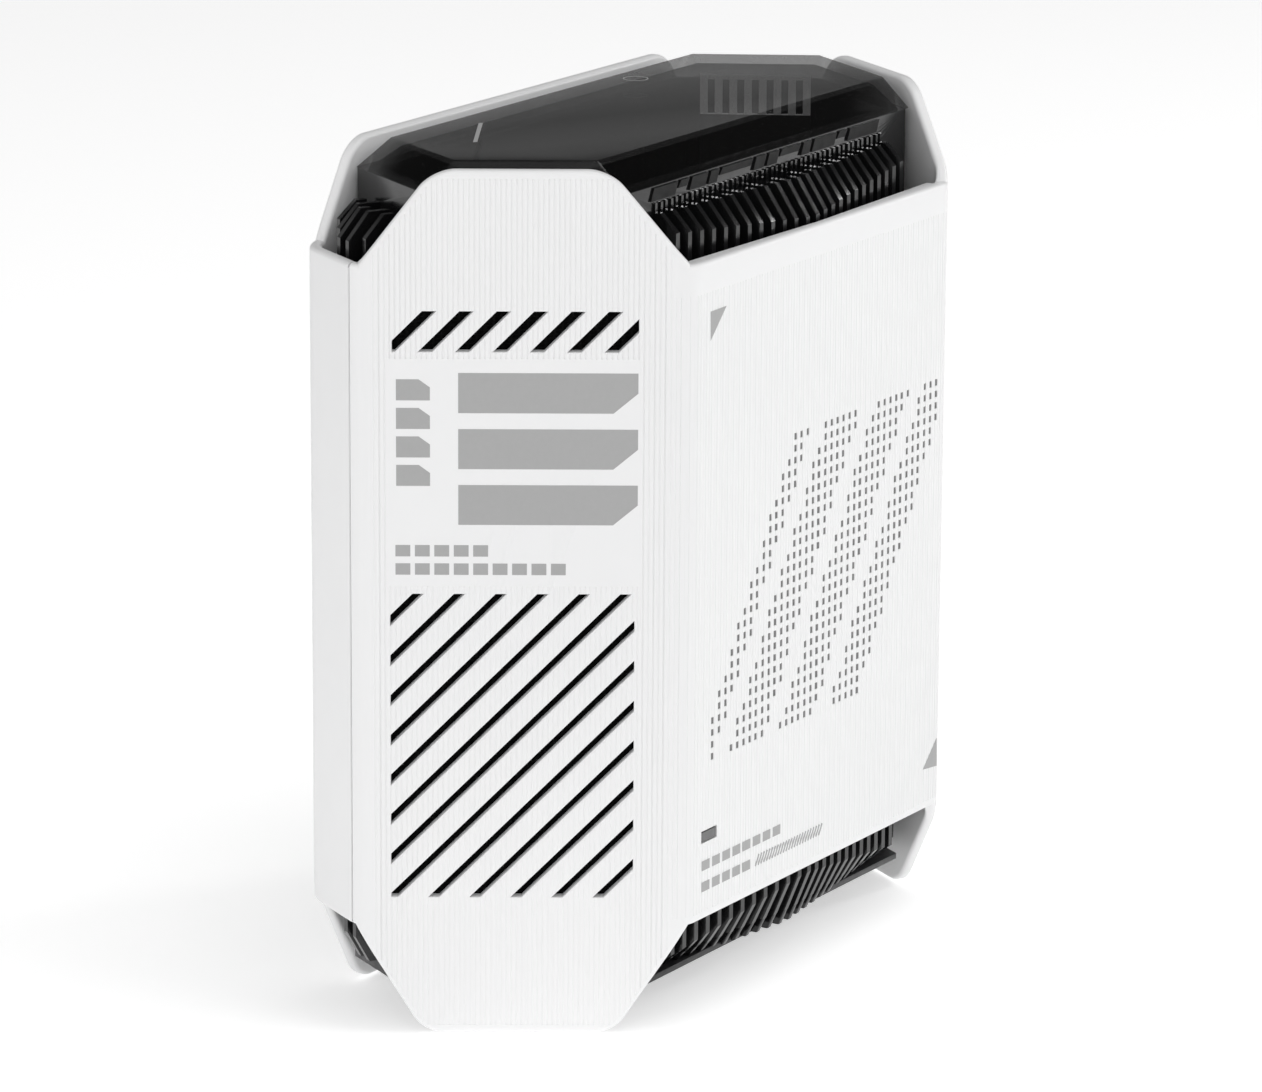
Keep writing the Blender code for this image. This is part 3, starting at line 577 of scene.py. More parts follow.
def surface(name, colour, roughness, tones=None, gloss=None, relief=None, soft=True, **sockets):
    """A finish whose tones, gloss and relief each follow a grain; soft tones take the grain as it comes."""
    mat, tree, shader = principled(name, colour, roughness, **sockets)
    if tones:
        settings, one, two = tones
        fac = grain(tree, *settings)
        tint(tree, shader, fac if soft else spread(tree, fac, 0, 1), one, two)
    if gloss:
        settings, low, high = gloss
        tree.links.new(spread(tree, grain(tree, *settings), low, high), shader.inputs["Roughness"])
    if relief:
        settings, strength, distance = relief
        bump(tree, shader, grain(tree, *settings), strength, distance)
    return mat


def white_plastic():
    """Satin white moulding with a very fine spark texture and a hint of flow marks."""
    return surface("white_moulding", (0.83, 0.83, 0.832), 0.42,
                   ((14, 4), (0.835, 0.835, 0.837), (0.815, 0.816, 0.82)), ((220, 5), 0.36, 0.5),
                   ((4200, 3, 0.7), 0.35, 0.012), soft=False)


def smoked_plastic():
    """Dark tinted clear plastic, polished, with faint flow lines."""
    return surface("smoked_clear", (0.003, 0.003, 0.003), 0.035, None, ((30, 4), 0.02, 0.06),
                   ((18, 2, 0.4, (1, 1, 3)), 0.08, 0.05), Alpha=0.58, Specular_IOR_Level=0.5)


def black_moulding(name="black_moulding", gloss=(0.26, 0.42), colour=(0.011, 0.011, 0.012), shine=0.5):
    """Black plastic with fine mould grain and slightly worn shine."""
    return surface(name, colour, sum(gloss) / 2, ((60, 4), colour, tuple(c * 1.6 for c in colour)),
                   ((320, 4), *gloss), ((3000, 3, 0.7), 0.4, 0.015), soft=False, Specular_IOR_Level=shine)


def screen_mesh():
    """Black woven screen, far darker than black plastic as painted shade deep in the vents: a fine grid of
    holes in relief.
    """
    # Own black colour plus painted shade: a colour near zero keeps the vents as dark as their shaded depth.
    mat, tree, shader = principled("vent_screen_and_shade", (0.001, 0.001, 0.001), 0.8, Specular_IOR_Level=0.1)
    place = node(tree, "ShaderNodeSeparateXYZ", {"Vector": object_place(tree)})
    waves = math.tau / (SCREEN_PITCH * MM)
    wires = [maths(tree, "SINE", maths(tree, "MULTIPLY", place.outputs[axis], waves)) for axis in ("X", "Z")]
    weave = maths(tree, "MAXIMUM", *wires)
    # Wires and holes are both near black as painted shade behind the vents; the holes are darker still.
    tint(tree, shader, weave, (0.0004, 0.0004, 0.0004), (0.004, 0.004, 0.004))
    bump(tree, shader, weave, 0.6, 0.2)
    return mat


def soft_rubber():
    """Matt black rubber with a dusty bloom."""
    return surface("soft_rubber", (0.02, 0.02, 0.02), 0.85,
                   ((90, 6), (0.016, 0.016, 0.016), (0.034, 0.033, 0.032)), None, ((1500, 4), 0.5, 0.04),
                   soft=False)


def board_lacquer():
    """Green solder mask with copper tracks showing through as slightly lighter lines."""
    mat, tree, shader = principled("board_lacquer", (0.012, 0.06, 0.03), 0.35)
    cells = node(tree, "ShaderNodeTexBrick",
                 {"Vector": object_place(tree), "Scale": 260.0, "Mortar Size": 0.012,
                  "Color1": (0.010, 0.05, 0.026, 1), "Color2": (0.013, 0.065, 0.034, 1),
                  "Mortar": (0.03, 0.13, 0.07, 1)}, offset=0.37, squash=1.6)
    tree.links.new(cells.outputs["Color"], shader.inputs["Base Color"])
    bump(tree, shader, cells.outputs["Fac"], 0.3, 0.03)
    return mat


def bare_aluminium():
    """Extruded aluminium with drawn lines along its length."""
    lines = (60, 5, 0.6, (1, 1, 30))
    return surface("bare_aluminium", (0.66, 0.67, 0.69), 0.35, (lines, (0.58, 0.59, 0.61), (0.7, 0.71, 0.73)),
                   (lines, 0.28, 0.46), (lines, 0.2, 0.02), metallic=1.0)


def plated_steel():
    """Tin-plated sheet with a soft rolled sheen."""
    rolled = (90, 4, 0.6, (12, 1, 1))
    return surface("plated_steel", (0.6, 0.6, 0.61), 0.3, (rolled, (0.5, 0.5, 0.51), (0.66, 0.66, 0.67)),
                   (rolled, 0.2, 0.38), (rolled, 0.15, 0.02), metallic=1.0)


def milky_diffuser():
    """Translucent light guide."""
    return surface("milky_diffuser", (0.5, 0.5, 0.51), 0.4, ((40, 3), (0.42, 0.42, 0.43), (0.55, 0.55, 0.56)),
                   None, ((900, 2), 0.2, 0.02))


def gap_filler():
    """Soft grey-blue thermal pad."""
    return surface("gap_filler", (0.25, 0.3, 0.4), 0.8, ((200, 4), (0.2, 0.25, 0.34), (0.28, 0.33, 0.43)),
                   None, ((700, 3), 0.4, 0.05))


def blank_film():
    """Silver-grey film of the blank rating label."""
    return surface("blank_film", (0.55, 0.55, 0.56), 0.45, ((120, 3), (0.5, 0.5, 0.51), (0.6, 0.6, 0.61)),
                   ((500, 4), 0.38, 0.55), metallic=0.3)


def gold_contact():
    """Gold flash on spring contacts."""
    return surface("gold_contact", (0.83, 0.62, 0.25), 0.22, ((200, 3), (0.78, 0.56, 0.2), (0.88, 0.68, 0.32)),
                   ((600, 3), 0.16, 0.34), metallic=1.0)


def grey_print(name="grey_print", tone=0.37):
    """Thin layer of printed grey ink."""
    return surface(name, (tone,) * 3, 0.5, ((900, 4), (tone * 0.97,) * 3, (tone * 1.05,) * 3), None,
                   ((2500, 2), 0.2, 0.008))


def louvre_paint_and_glow():
    """Silvery paint on the bars of the louvre with a painted glow, and a painted highlight that makes them
    brightest at their feet; the plate below them is near black.
    """
    # Painted glow: the emission makes the bars shine though they are no lamp.
    mat, tree, shader = principled("louvre_paint_and_glow", (0.6, 0.6, 0.6), 0.45, Emission_Strength=0.2)
    height = node(tree, "ShaderNodeSeparateXYZ", {"Vector": object_place(tree)}).outputs["Z"]
    # Painted highlight: lighter at the bars' feet, darker towards their tops.
    painted_highlight = ramp(tree, height, LOUVRE_FOOT * MM, LOUVRE_TOP * MM, 0.95, 0.55)
    above = maths(tree, "GREATER_THAN", height, (LOUVRE_FOOT - 0.05) * MM)
    tone = maths(tree, "MULTIPLY_ADD", painted_highlight, above, 0.004)
    painted = maths(tree, "MULTIPLY", tone, spread(tree, grain(tree, 300, 3), 0.92, 1.06))
    # The same tone feeds colour and emission, so the painted glow follows the painted highlight.
    for label in ("Base Color", "Emission Color"):
        tree.links.new(painted, shader.inputs[label])
    return mat


def lens_smoke():
    """Dark grey window over the status light."""
    return surface("lens_smoke", (0.11, 0.11, 0.112), 0.16,
                   ((500, 3), (0.1, 0.1, 0.102), (0.125, 0.125, 0.127)), ((300, 3), 0.12, 0.22))


FINISH = {
    "white": white_plastic(), "smoked": smoked_plastic(), "black": black_moulding(),
    "satin_black": black_moulding("satin_black", (0.34, 0.5), (0.014, 0.014, 0.015)),
    "fin_black": black_moulding("fin_black", (0.12, 0.22), (0.005, 0.005, 0.0053)),
    "relief_black": black_moulding("relief_black", (0.4, 0.55), (0.003, 0.003, 0.0031), 0.22),
    "screen": screen_mesh(), "rubber": soft_rubber(), "board": board_lacquer(),
    "aluminium": bare_aluminium(), "steel": plated_steel(), "diffuser": milky_diffuser(),
    "pad": gap_filler(), "film": blank_film(), "gold": gold_contact(), "louvre": louvre_paint_and_glow(),
    "lens": lens_smoke(), "print": grey_print(), "pale_print": grey_print("pale_print", 0.55),
    "etched": grey_print("etched_line", 0.42), "window": grey_print("window_grey", 0.15),
}


# ======== shells
def end_tab_outline():
    """Outline of a tall end face between its notches, as seen square on."""
    face = FACE_LENGTH
    return [(-0.3, NOTCH_FOOT), (13.2, TAB_FOOT), (face - 14.3, TAB_FOOT), (face + 0.4, NOTCH_FOOT),
            (face - 0.2, NOTCH_TOP), (face - 15.8, TAB_TOP), (15.4, TAB_TOP), (0.9, NOTCH_TOP)]


def rear_tab_outline():
    """Outline of the tall rear face between its notches."""
    return [(-71.5, NOTCH_FOOT), (-58.7, TAB_FOOT), (58.7, TAB_FOOT), (71.5, NOTCH_FOOT),
            (70.5, NOTCH_TOP), (59.0, TAB_TOP), (-59.0, TAB_TOP), (-70.5, NOTCH_TOP)]


TAB_RADII = (0, FOOT_RADIUS, FOOT_RADIUS, 0, 0, TAB_RADIUS, TAB_RADIUS, 0)
HELPERS = []


def helper(obj):
    """Remember a cutter, so that it is removed once the shells are settled."""
    HELPERS.append(obj)
    return obj


def notch_cutter(name, low, high):
    """All that is cut away above or below the low faces, which leaves the tabs standing."""
    cutter = helper(box(name, -100, 100, -60, 60, low, high))
    end_tabs = bmesh.new()
    prism_into(end_tabs, end_tab_outline(), -14, 12, TAB_RADII, 10)
    mirror_copy(moved(end_tabs, tall_face_frame()))
    boolean(cutter, helper(finish_object(f"{name}_end_tabs", end_tabs)))
    turn = Matrix.Rotation(math.radians(90), 4, "X")
    boolean(cutter, helper(prism(f"{name}_rear_tab", rear_tab_outline(), -45, -24, None, TAB_RADII, 10, turn)))
    return cutter


def slant_outline(start, width, field):
    """One vent at 45 degrees, trimmed to its field."""
    left, right, low, high = field
    foot, rise = start - 1, high - low + 2
    whole = [(foot, low - 1), (foot + width, low - 1), (foot + width + rise, high + 1), (foot + rise, high + 1)]
    for limit, axis, sign in ((left, 0, 1), (right, 0, -1), (low, 1, 1), (high, 1, -1)):
        kept = []
        for one, two in zip(whole, whole[1:] + whole[:1]):
            a, b = sign * (one[axis] - limit), sign * (two[axis] - limit)
            if a >= 0:
                kept.append(one)
            if a * b < 0:
                share = a / (a - b)
                kept.append(tuple(p + (q - p) * share for p, q in zip(one, two)))
        whole = kept
    return whole


def vent_cutter():
    """Slanting vents of both tall end faces."""
    bm = bmesh.new()
    for row in VENT_ROWS.values():
        for k in range(row["count"]):
            outline = slant_outline(row["first"] + k * row["pitch"], row["width"], row["field"])
            if len(outline) > 2:
                flared_prism_into(bm, outline, -6, 3, SMALL_ROUND)
    mirror_copy(moved(bm, tall_face_frame()))
    return helper(finish_object("vent_cutter", bm))


def tab_reach(along, outline, upper):
    """How high or low a tab's outline runs at one place along its face."""
    sides = (outline[4:8] if upper else outline[0:4])
    for (x0, z0), (x1, z1) in zip(sides, sides[1:]):
        if min(x0, x1) <= along <= max(x0, x1) and x0 != x1:
            return z0 + (z1 - z0) * (along - x0) / (x1 - x0)
    return NOTCH_TOP if upper else NOTCH_FOOT


def rib_places():
    """Grooves of the front shell: both tall end faces, round the front corners and the front face."""
    outline = end_tab_outline()
    reach = CORNERS[0] * math.tan(corner_turn(plan(0, 0, 0, 0), 0) / 2)
    right = []
    for k in range(int((FACE_LENGTH - reach - RIB_START) / RIB_PITCH) + 1):
        along = FACE_LENGTH - reach - k * RIB_PITCH
        top = tab_reach(along, outline, True) - RIB_END_GAP
        foot = tab_reach(along, outline, False) + RIB_END_GAP
        place = Vector((TIP_X, TIP_Y)) - TALL_RUN * along
        left_side, right_side, panel_foot, panel_top = PRINT_PANEL
        spans = ((foot, panel_foot), (panel_top, top)) if left_side < along < right_side else ((foot, top),)
        for low, high in spans:
            right.append((place.x, place.y, low, high, math.atan2(TALL_RUN.y, TALL_RUN.x)))
    turn = corner_turn(plan(0, 0, 0, 0), 0)
    centre = Vector((FRONT_HALF - reach, CORNERS[0] - HALF_DEPTH))
    steps = max(int(round(CORNERS[0] * turn / RIB_PITCH)), 2)
    for k in range(1, steps):
        angle = -math.pi / 2 + turn * k / steps
        place = centre + Vector((math.cos(angle), math.sin(angle))) * CORNERS[0]
        right.append((place.x, place.y, NOTCH_FOOT + RIB_END_GAP, CREASE_Z, angle + math.pi / 2))
    half = int((FRONT_HALF - reach) / RIB_PITCH)
    step = (FRONT_HALF - reach) / half
    middle = [(k * step, -HALF_DEPTH, NOTCH_FOOT + RIB_END_GAP, CREASE_Z, 0.0) for k in range(-half, half + 1)]
    left = [(-x, y, low, high, -angle) for x, y, low, high, angle in right]
    grooves = left + middle + right
    return [(x, y, (low + high) / 2, high - low, angle, 0.0) for x, y, low, high, angle in grooves]


def rib_cutter(name, places):
    """Shallow upright grooves of diamond section."""
    return helper(bars(name, places, RIB_WIDTH, RIB_DEPTH * 2, None, 0.7, math.pi / 4))


def window_cells(name, size, depth, sunk):
    """Small upright windows of the front face; the same rule gives the holes and what fills them."""
    obj = finish_object(name, bmesh.new())
    rows = int((CELL_FIELD[1] - CELL_FIELD[0]) / CELL_PITCH[1]) + 1
    grow(obj, bpy.data.node_groups.get("banded_cells") or cell_tree(),
         {"Columns": CELL_COLUMNS, "Rows": rows, "Pitch X": CELL_PITCH[0] * MM, "Pitch Y": CELL_PITCH[1] * MM,
          "Cell": (size[0] * MM, size[1] * MM, depth * MM), "Slant": CELL_SLANT, "Band": CELL_BAND * MM,
          "Repeat": CELL_REPEAT * MM, "Material": FINISH["window"]})
    place = front_face_frame() @ Matrix.Translation((CELL_MIDDLE, sum(CELL_FIELD) / 2, -sunk))
    return settle(obj, name, 0, metres(place))


def shell_ring(name):
    """The hexagonal wall at full height, before the notches."""
    ring = prism(name, plan(0, 0, 0, 0), TAB_FOOT, TAB_TOP, FINISH["white"], CORNERS, 12)
    inner_radii = [max(radius - WALL, 1.0) for radius in CORNERS]
    inside = prism(f"{name}_inside", plan(WALL, WALL, WALL, WALL), -5, TAB_TOP + 5, None, inner_radii, 12)
    boolean(ring, helper(inside))
    return ring


def round_rims(obj):
    """Round the edges of the tabs and notches; vents, windows and the seam keep their crisp edges."""
    bm = bmesh.new()
    bm.from_mesh(obj.data)
    rims = {face for face in bm.faces
            if abs(face.normal.z) > 0.25 and face.calc_area() > SMALLEST_RIM * MM * MM
            and not RIM_CLEAR[0] < face.calc_center_median().z / MM < RIM_CLEAR[1]}
    edges = []
    for edge in bm.edges:
        if len(edge.link_faces) != 2 or sum(face in rims for face in edge.link_faces) != 1:
            continue
        wall = next(face for face in edge.link_faces if face not in rims)
        at_seam = all(abs(vert.co.y / MM - PARTING_Y) < SEAM_GAP for vert in edge.verts)
        if not at_seam and abs(wall.normal.z) < 0.1 and edge.calc_face_angle() > math.radians(45):
            edges.append(edge)
    bmesh.ops.bevel(bm, geom=edges, offset=EDGE_ROUND * MM, segments=4, profile=0.5, affect="EDGES",
                    clamp_overlap=False)
    bm.to_mesh(obj.data)
    bm.free()


def tidy_mesh(obj, distance):
    """Weld the specks that cutting leaves and make flat faces whole."""
    bm = bmesh.new()
    bm.from_mesh(obj.data)
    bmesh.ops.remove_doubles(bm, verts=bm.verts, dist=distance * MM)
    bmesh.ops.dissolve_limit(bm, angle_limit=math.radians(1.0), verts=bm.verts, edges=bm.edges)
    bm.to_mesh(obj.data)
    bm.free()


def dress_casing(shell, name, node_name, cutters):
    """Round the rims of a half of the shell, cut its openings and ribs and hang it on the housing."""
    rounded = settle(shell, f"{name}_rounded", 0)
    tidy_mesh(rounded, 0.2)
    round_rims(rounded)
    for cutter in cutters:
        boolean(rounded, cutter, solver="MANIFOLD")
    own_piece(settle(rounded, name, 26), node_name)


def front_casing(top_cut, foot_cut):
    """Front face with both tall end faces, in one ribbed moulding."""
    shell = shell_ring("front_blank")
    inner = WALL - HALF_DEPTH
    lip = [(-LIP_HALF, inner - 1), (LIP_HALF, inner - 1), (LIP_HALF, inner + LIP_REACH), (0, inner),
           (-LIP_HALF, inner + LIP_REACH)]
    boolean(shell, helper(prism("rim_lip", lip, LIP_FOOT, NOTCH_TOP)), "UNION")
    boolean(shell, top_cut)
    boolean(shell, foot_cut)
    boolean(shell, helper(box("front_trim", -100, 100, PARTING_Y - SEAM_GAP / 2, 60, -10, 190)))
    status = bmesh.new()
    low, high = node_box("indicator_lens")
    window = rectangle(low.x - SEAM_GAP, high.x + SEAM_GAP, low.z - SEAM_GAP, high.z + SEAM_GAP)
    flared_prism_into(status, window, -6, 3, SMALL_ROUND / 2)
    cutters = [vent_cutter(), helper(finish_object("status_hole", moved(status, front_face_frame()))),
               helper(window_cells("window_cutter", CELL_SIZE, 6.0, 0.0)),
               rib_cutter("front_ribs", rib_places())]
    dress_casing(shell, "front_casing", "front_shell", cutters)
    lights = window_cells("window_lights", tuple(size - 0.04 for size in CELL_SIZE), CELL_GLASS,
                          CELL_SUNK + CELL_GLASS / 2)
    lights.data.materials.clear()
    lights.data.materials.append(FINISH["window"])
    own_piece(lights)


def rear_rib_places():
    """Grooves of the rear tab, clear of the connector window."""
    outline = rear_tab_outline()
    places = []
    for k in range(-54, 55):
        x = k * RIB_PITCH
        top = tab_reach(x, outline, True) - RIB_END_GAP
        foot = tab_reach(x, outline, False) + RIB_END_GAP
        for low, high in ((BAY_RIB_ENDS[1], top), (foot, BAY_RIB_ENDS[0])):
            places.append((x, HALF_DEPTH, (low + high) / 2, high - low, 0.0, 0.0))
    return places


def rear_casing(top_cut, foot_cut):
    """Rear face and both short end faces, with the window of the connector bay."""
    shell = shell_ring("rear_blank")
    boolean(shell, top_cut)
    boolean(shell, foot_cut)
    boolean(shell, helper(box("rear_trim", -100, 100, -60, PARTING_Y + SEAM_GAP / 2, -10, 190)))
    window = prism("bay_window", rectangle(*BAY_WINDOW), -8, 5, None, (BAY_RADIUS,) * 4, 6, rear_face_frame())
    cutters = [helper(window), rib_cutter("rear_ribs", rear_rib_places())]
    dress_casing(shell, "rear_casing", "rear_shell", cutters)


def ring_into(bm, centre, radius, width, low, high, segments=36):
    """Add a flat ring that lies level."""
    loops = []
    for reach, level in ((radius, low), (radius + width, low), (radius + width, high), (radius, high)):
        loops.append([bm.verts.new((centre[0] + reach * math.cos(math.tau * k / segments),
                                    centre[1] + reach * math.sin(math.tau * k / segments), level))
                      for k in range(segments)])
    for one, two in zip(loops, loops[1:] + loops[:1]):
        for k in range(segments):
            after = (k + 1) % segments
            bm.faces.new((one[k], one[after], two[after], two[k]))


def seam_strips():
    """White strips at the bottom of the parting line, so that no light shows through it."""
    half = SEAM_GAP / 2 - SEAM_SLACK
    outline = []
    for y, insets in ((PARTING_Y - half, (WALL, SEAM_DEPTH)), (PARTING_Y + half, (SEAM_DEPTH, WALL))):
        for inset in insets:
            outline.append((TIP_X + ((y - TIP_Y) * END_RUN.x - inset) / END_RUN.y, y))
    bm = bmesh.new()
    prism_into(bm, outline, NOTCH_FOOT + EDGE_ROUND, NOTCH_TOP - EDGE_ROUND)
    mirror_copy(bm)
    own_piece(finish_object("seam_strips", bm, FINISH["white"]))


def casings():
    """Both halves of the white shell."""
    top_cut = notch_cutter("top_notches", NOTCH_TOP, 190)
    foot_cut = notch_cutter("foot_notches", -12, NOTCH_FOOT)
    front_casing(top_cut, foot_cut)
    rear_casing(top_cut, foot_cut)
    seam_strips()
    drop(*HELPERS)


# ======== prints
def on_face(name, outlines, place):
    """Flat printed shapes lying on a face, given as outlines in that face's own frame."""
    bm = bmesh.new()
    for outline in outlines:
        prism_into(bm, outline, *INK)
    own_piece(finish_object(name, moved(bm, place), FINISH["print"]))


def dash_rows(start, pitch, length, height, rows):
    """Rows of equal dashes."""
    return [rectangle(start + pitch * k, start + pitch * k + length, foot, foot + height)
            for foot, count in rows for k in range(count)]


def tall_face_prints():
    """Plain blocks and dashes in pale grey between the vents."""
    blocks = [[(x, y + foot) for x, y in bar]
              for bar, feet in ((LONG_BAR, LONG_BAR_FEET), (SHORT_BAR, SHORT_BAR_FEET)) for foot in feet]
    on_face("tall_face_prints", blocks + dash_rows(*END_DASH, END_ROWS), tall_face_frame())


def front_face_prints():
    """Two small triangles, a few dashes and a slanting hatch low on the front face."""
    on_face("front_face_prints", TRIANGLES + dash_rows(*FRONT_DASH, FRONT_ROWS), front_face_frame())
    strokes = [(HATCH["first"] + HATCH["pitch"] * k, -HALF_DEPTH, HATCH["middle"], HATCH["length"], 0.0,
                HATCH["lean"]) for k in range(HATCH["count"])]
    own_piece(bars("front_hatch", strokes, HATCH["width"], 2 * INK[1], FINISH["print"]))


# ======== black frames and lid
def merged_copy(node_name, name, material):
    """A welded copy of a fixed node, with its flat faces whole again, ready for rounding."""
    bm = bmesh.new()
    bm.from_mesh(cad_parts[node_name].data)
    bmesh.ops.remove_doubles(bm, verts=bm.verts, dist=0.00001)
    bmesh.ops.dissolve_limit(bm, angle_limit=math.radians(1.0), verts=bm.verts, edges=bm.edges)
    mesh = bpy.data.meshes.new(name)
    bm.to_mesh(mesh)
    bm.free()
    mesh.materials.append(material)
    return linked(name, mesh)


def rounded_node(node_name, name, finish, width, segments=2, body="housing", smooth=20.0):
    """A fixed node shown with softened edges."""
    obj = merged_copy(node_name, f"{name}_blank", FINISH[finish])
    bevel(obj, width, segments)
    own_piece(settle(obj, name, smooth), node_name, body)


def frames():
    """Upper and lower finned frames."""
    rounded_node("upper_frame", "upper_fins", "fin_black", 0.26)
    rounded_node("lower_frame", "lower_fins", "fin_black", 0.26)


def frustum_into(bm, low_outline, high_outline, low, high):
    """A solid whose outline changes evenly from its foot to its top."""
    foot = [bm.verts.new((x, y, low)) for x, y in low_outline]
    face = bm.faces.new(foot)
    risen = bmesh.ops.extrude_face_region(bm, geom=[face])["geom"]
    for vert in verts_of(risen):
        nearest = min(range(len(foot)), key=lambda k: (vert.co - foot[k].co).length)
        vert.co = (*high_outline[nearest], high)


def lid_insets(extra=0.0):
    """Outlines of the lid's foot and top, moved inwards."""
    return [plan(*(inset + extra for inset in insets)) for insets in (LID_SKIRT_INSETS, LID_TOP_INSETS)]


def lid():
    """Smoked lid with a polished top and sloping sides."""
    mark_foot = LID_HIGH.z - MARK_HEIGHT
    outer = bmesh.new()
    frustum_into(outer, *lid_insets(), LID_LOW.z, mark_foot)
    above = [edge for edge in outer.edges if max(vert.co.z for vert in edge.verts) > LID_LOW.z + 1]
    bmesh.ops.bevel(outer, geom=above, offset=LID_ROUND, segments=3, profile=0.5, affect="EDGES")
    cover = finish_object("lid_blank", outer, FINISH["smoked"])
    inner = bmesh.new()
    frustum_into(inner, *lid_insets(LID_WALL), LID_LOW.z - 0.5, LID_HIGH.z - LID_WALL)
    hollow = finish_object("lid_hollow", inner)
    boolean(cover, hollow)
    own_piece(settle(cover, "smoked_cover", 14), "smoked_lid")
    drop(hollow)
    marks = bmesh.new()
    ring_into(marks, LID_RING, LID_RING_RADIUS, LID_RING_LINE, mark_foot, LID_HIGH.z, 48)
    (x0, y0), (x1, y1) = LID_DASH
    half = LID_DASH_HALF
    dash = [(x0 - half, y0 + half), (x0 + half, y0 - half), (x1 + half, y1 - half), (x1 - half, y1 + half)]
    prism_into(marks, dash, mark_foot, LID_HIGH.z)
    own_piece(finish_object("lid_marks", marks, FINISH["etched"]))


def relief_band():
    """Raised blocks under the lid's skirt and a row of small ribs above the fins."""
    wall = HALF_DEPTH - FRAME_INSET
    blocks = bmesh.new()
    left = -BAND_HALF
    for k, width in enumerate(BAND_BLOCKS):
        low = BAND_LOW + (BAND_HIGH - BAND_LOW) * (0.45 if k % 3 == 1 else 0.0)
        outline = [(left, low), (left + width, low), (left + width + BLOCK_SLANT, BAND_HIGH),
                   (left + BLOCK_SLANT, BAND_HIGH)]
        flared_prism_into(blocks, outline, -0.3, BLOCK_RISE, 0.0)
        left += width + BLOCK_GAP
    moved(blocks, Matrix.Translation((0, -wall, 0)) @ UPRIGHT)
    own_piece(finish_object("relief_blocks", blocks, FINISH["relief_black"]))
    count = int(BAND_HALF / SMALL_RIB_PITCH)
    low, high = SMALL_RIBS
    places = [(k * SMALL_RIB_PITCH, -wall, (low + high) / 2, high - low, 0.0, 0.0)
              for k in range(-count, count + 1)]
    own_piece(bars("small_ribs", places, 0.8, 1.0, FINISH["fin_black"], extra=0.25))


# ======== connector bay

def jack_pins(jack):
    """Eight sprung gold contacts and the black comb that holds them."""
    low, high = node_box(f"{jack}_contacts")
    middle = (low + high) / 2
    pitch = (high.x - low.x) / JACK_PINS
    places = [(middle.x + (k - (JACK_PINS - 1) / 2) * pitch, PIN_MIDDLE_Y, middle.z - PIN_DROP, PIN_LENGTH,
               math.pi / 2, math.pi / 2 - PIN_SLOPE) for k in range(JACK_PINS)]
    own_piece(bars(f"{jack}_pins", places, 0.3, 0.45, FINISH["gold"]), f"{jack}_contacts")
    comb = [(place[0] + pitch / 2, LINER[0] + 0.9, high.z - 0.75, 1.5, 0.0, 0.0) for place in places[:-1]]
    own_piece(bars(f"{jack}_comb", comb, 0.34, 1.2, FINISH["black"]))


def jack_liner(jack):
    """Black insert of a jack: a deep cup in the shape of the plug with its latch."""
    low, high = node_box(jack)
    place = Matrix.Translation(((low.x + high.x) / 2, 0, (low.z + high.z) / 2)) @ UPRIGHT
    back, front = LINER
    parts = []
    for shrink, face, floor in ((LINER_GAP, front, back), (LINER_WALL, front + 2, back + LINER_WALL)):
        half, latch = (value - shrink for value in LINER_HALVES)
        foot, sill, top = (value - math.copysign(shrink, value) for value in LINER_LEVELS)
        plug = [(-half, sill), (-latch, sill), (-latch, foot), (latch, foot), (latch, sill), (half, sill),
                (half, top), (-half, top)]
        parts.append(prism(f"{jack}_liner_part", plug, -face, -floor, FINISH["black"], place=place))
    boolean(*parts)
    own_piece(settle(parts[0], f"{jack}_liner", 20))
    drop(parts[1])


def jacks():
    """Network jacks with broken edges, black inserts, side springs and separate contacts."""
    for jack in JACKS:
        rounded_node(jack, f"{jack}_shield", "steel", 0.25)
        jack_liner(jack)
        jack_pins(jack)
        low, high = node_box(jack)
        middle = (low + high) / 2
        springs = [(middle.x + side * (high.x - low.x - 0.1) / 2, high.y - 4.0, middle.z + lift, 4.6, 0.0, 0.0)
                   for side in (-1, 1) for lift in (-SPRING_LIFT, SPRING_LIFT)]
        own_piece(bars(f"{jack}_springs", springs, 0.28, 1.6, FINISH["steel"]))


def usb_details():
    """Four contacts under the tongue of the host port."""
    low, high = node_box("usb_tongue")
    middle = (low + high) / 2
    places = [(middle.x + offset, high.y - 2.8, low.z + 0.02, 4.6, math.pi / 2, math.pi / 2)
              for offset in USB_CONTACTS]
    own_piece(bars("usb_contacts", places, 0.12, 1.0, FINISH["gold"]))
    rounded_node("usb_port", "usb_shield", "steel", 0.25)


def inlet_pin():
    """Plated centre pin of the power inlet, with a domed tip."""
    low, high = node_box("dc_inlet")
    x, z = (low.x + high.x) / 2, (low.z + high.z) / 2
    bm = bmesh.new()
    back, front = INLET_PIN
    rod_into(bm, (x, back, z), (x, front, z), INLET_PIN_RADIUS, INLET_PIN_RADIUS)
    rod_into(bm, (x, front, z), (x, front + 0.35, z), INLET_PIN_RADIUS, 0.7)
    own_piece(finish_object("inlet_pin", bm, FINISH["steel"]))


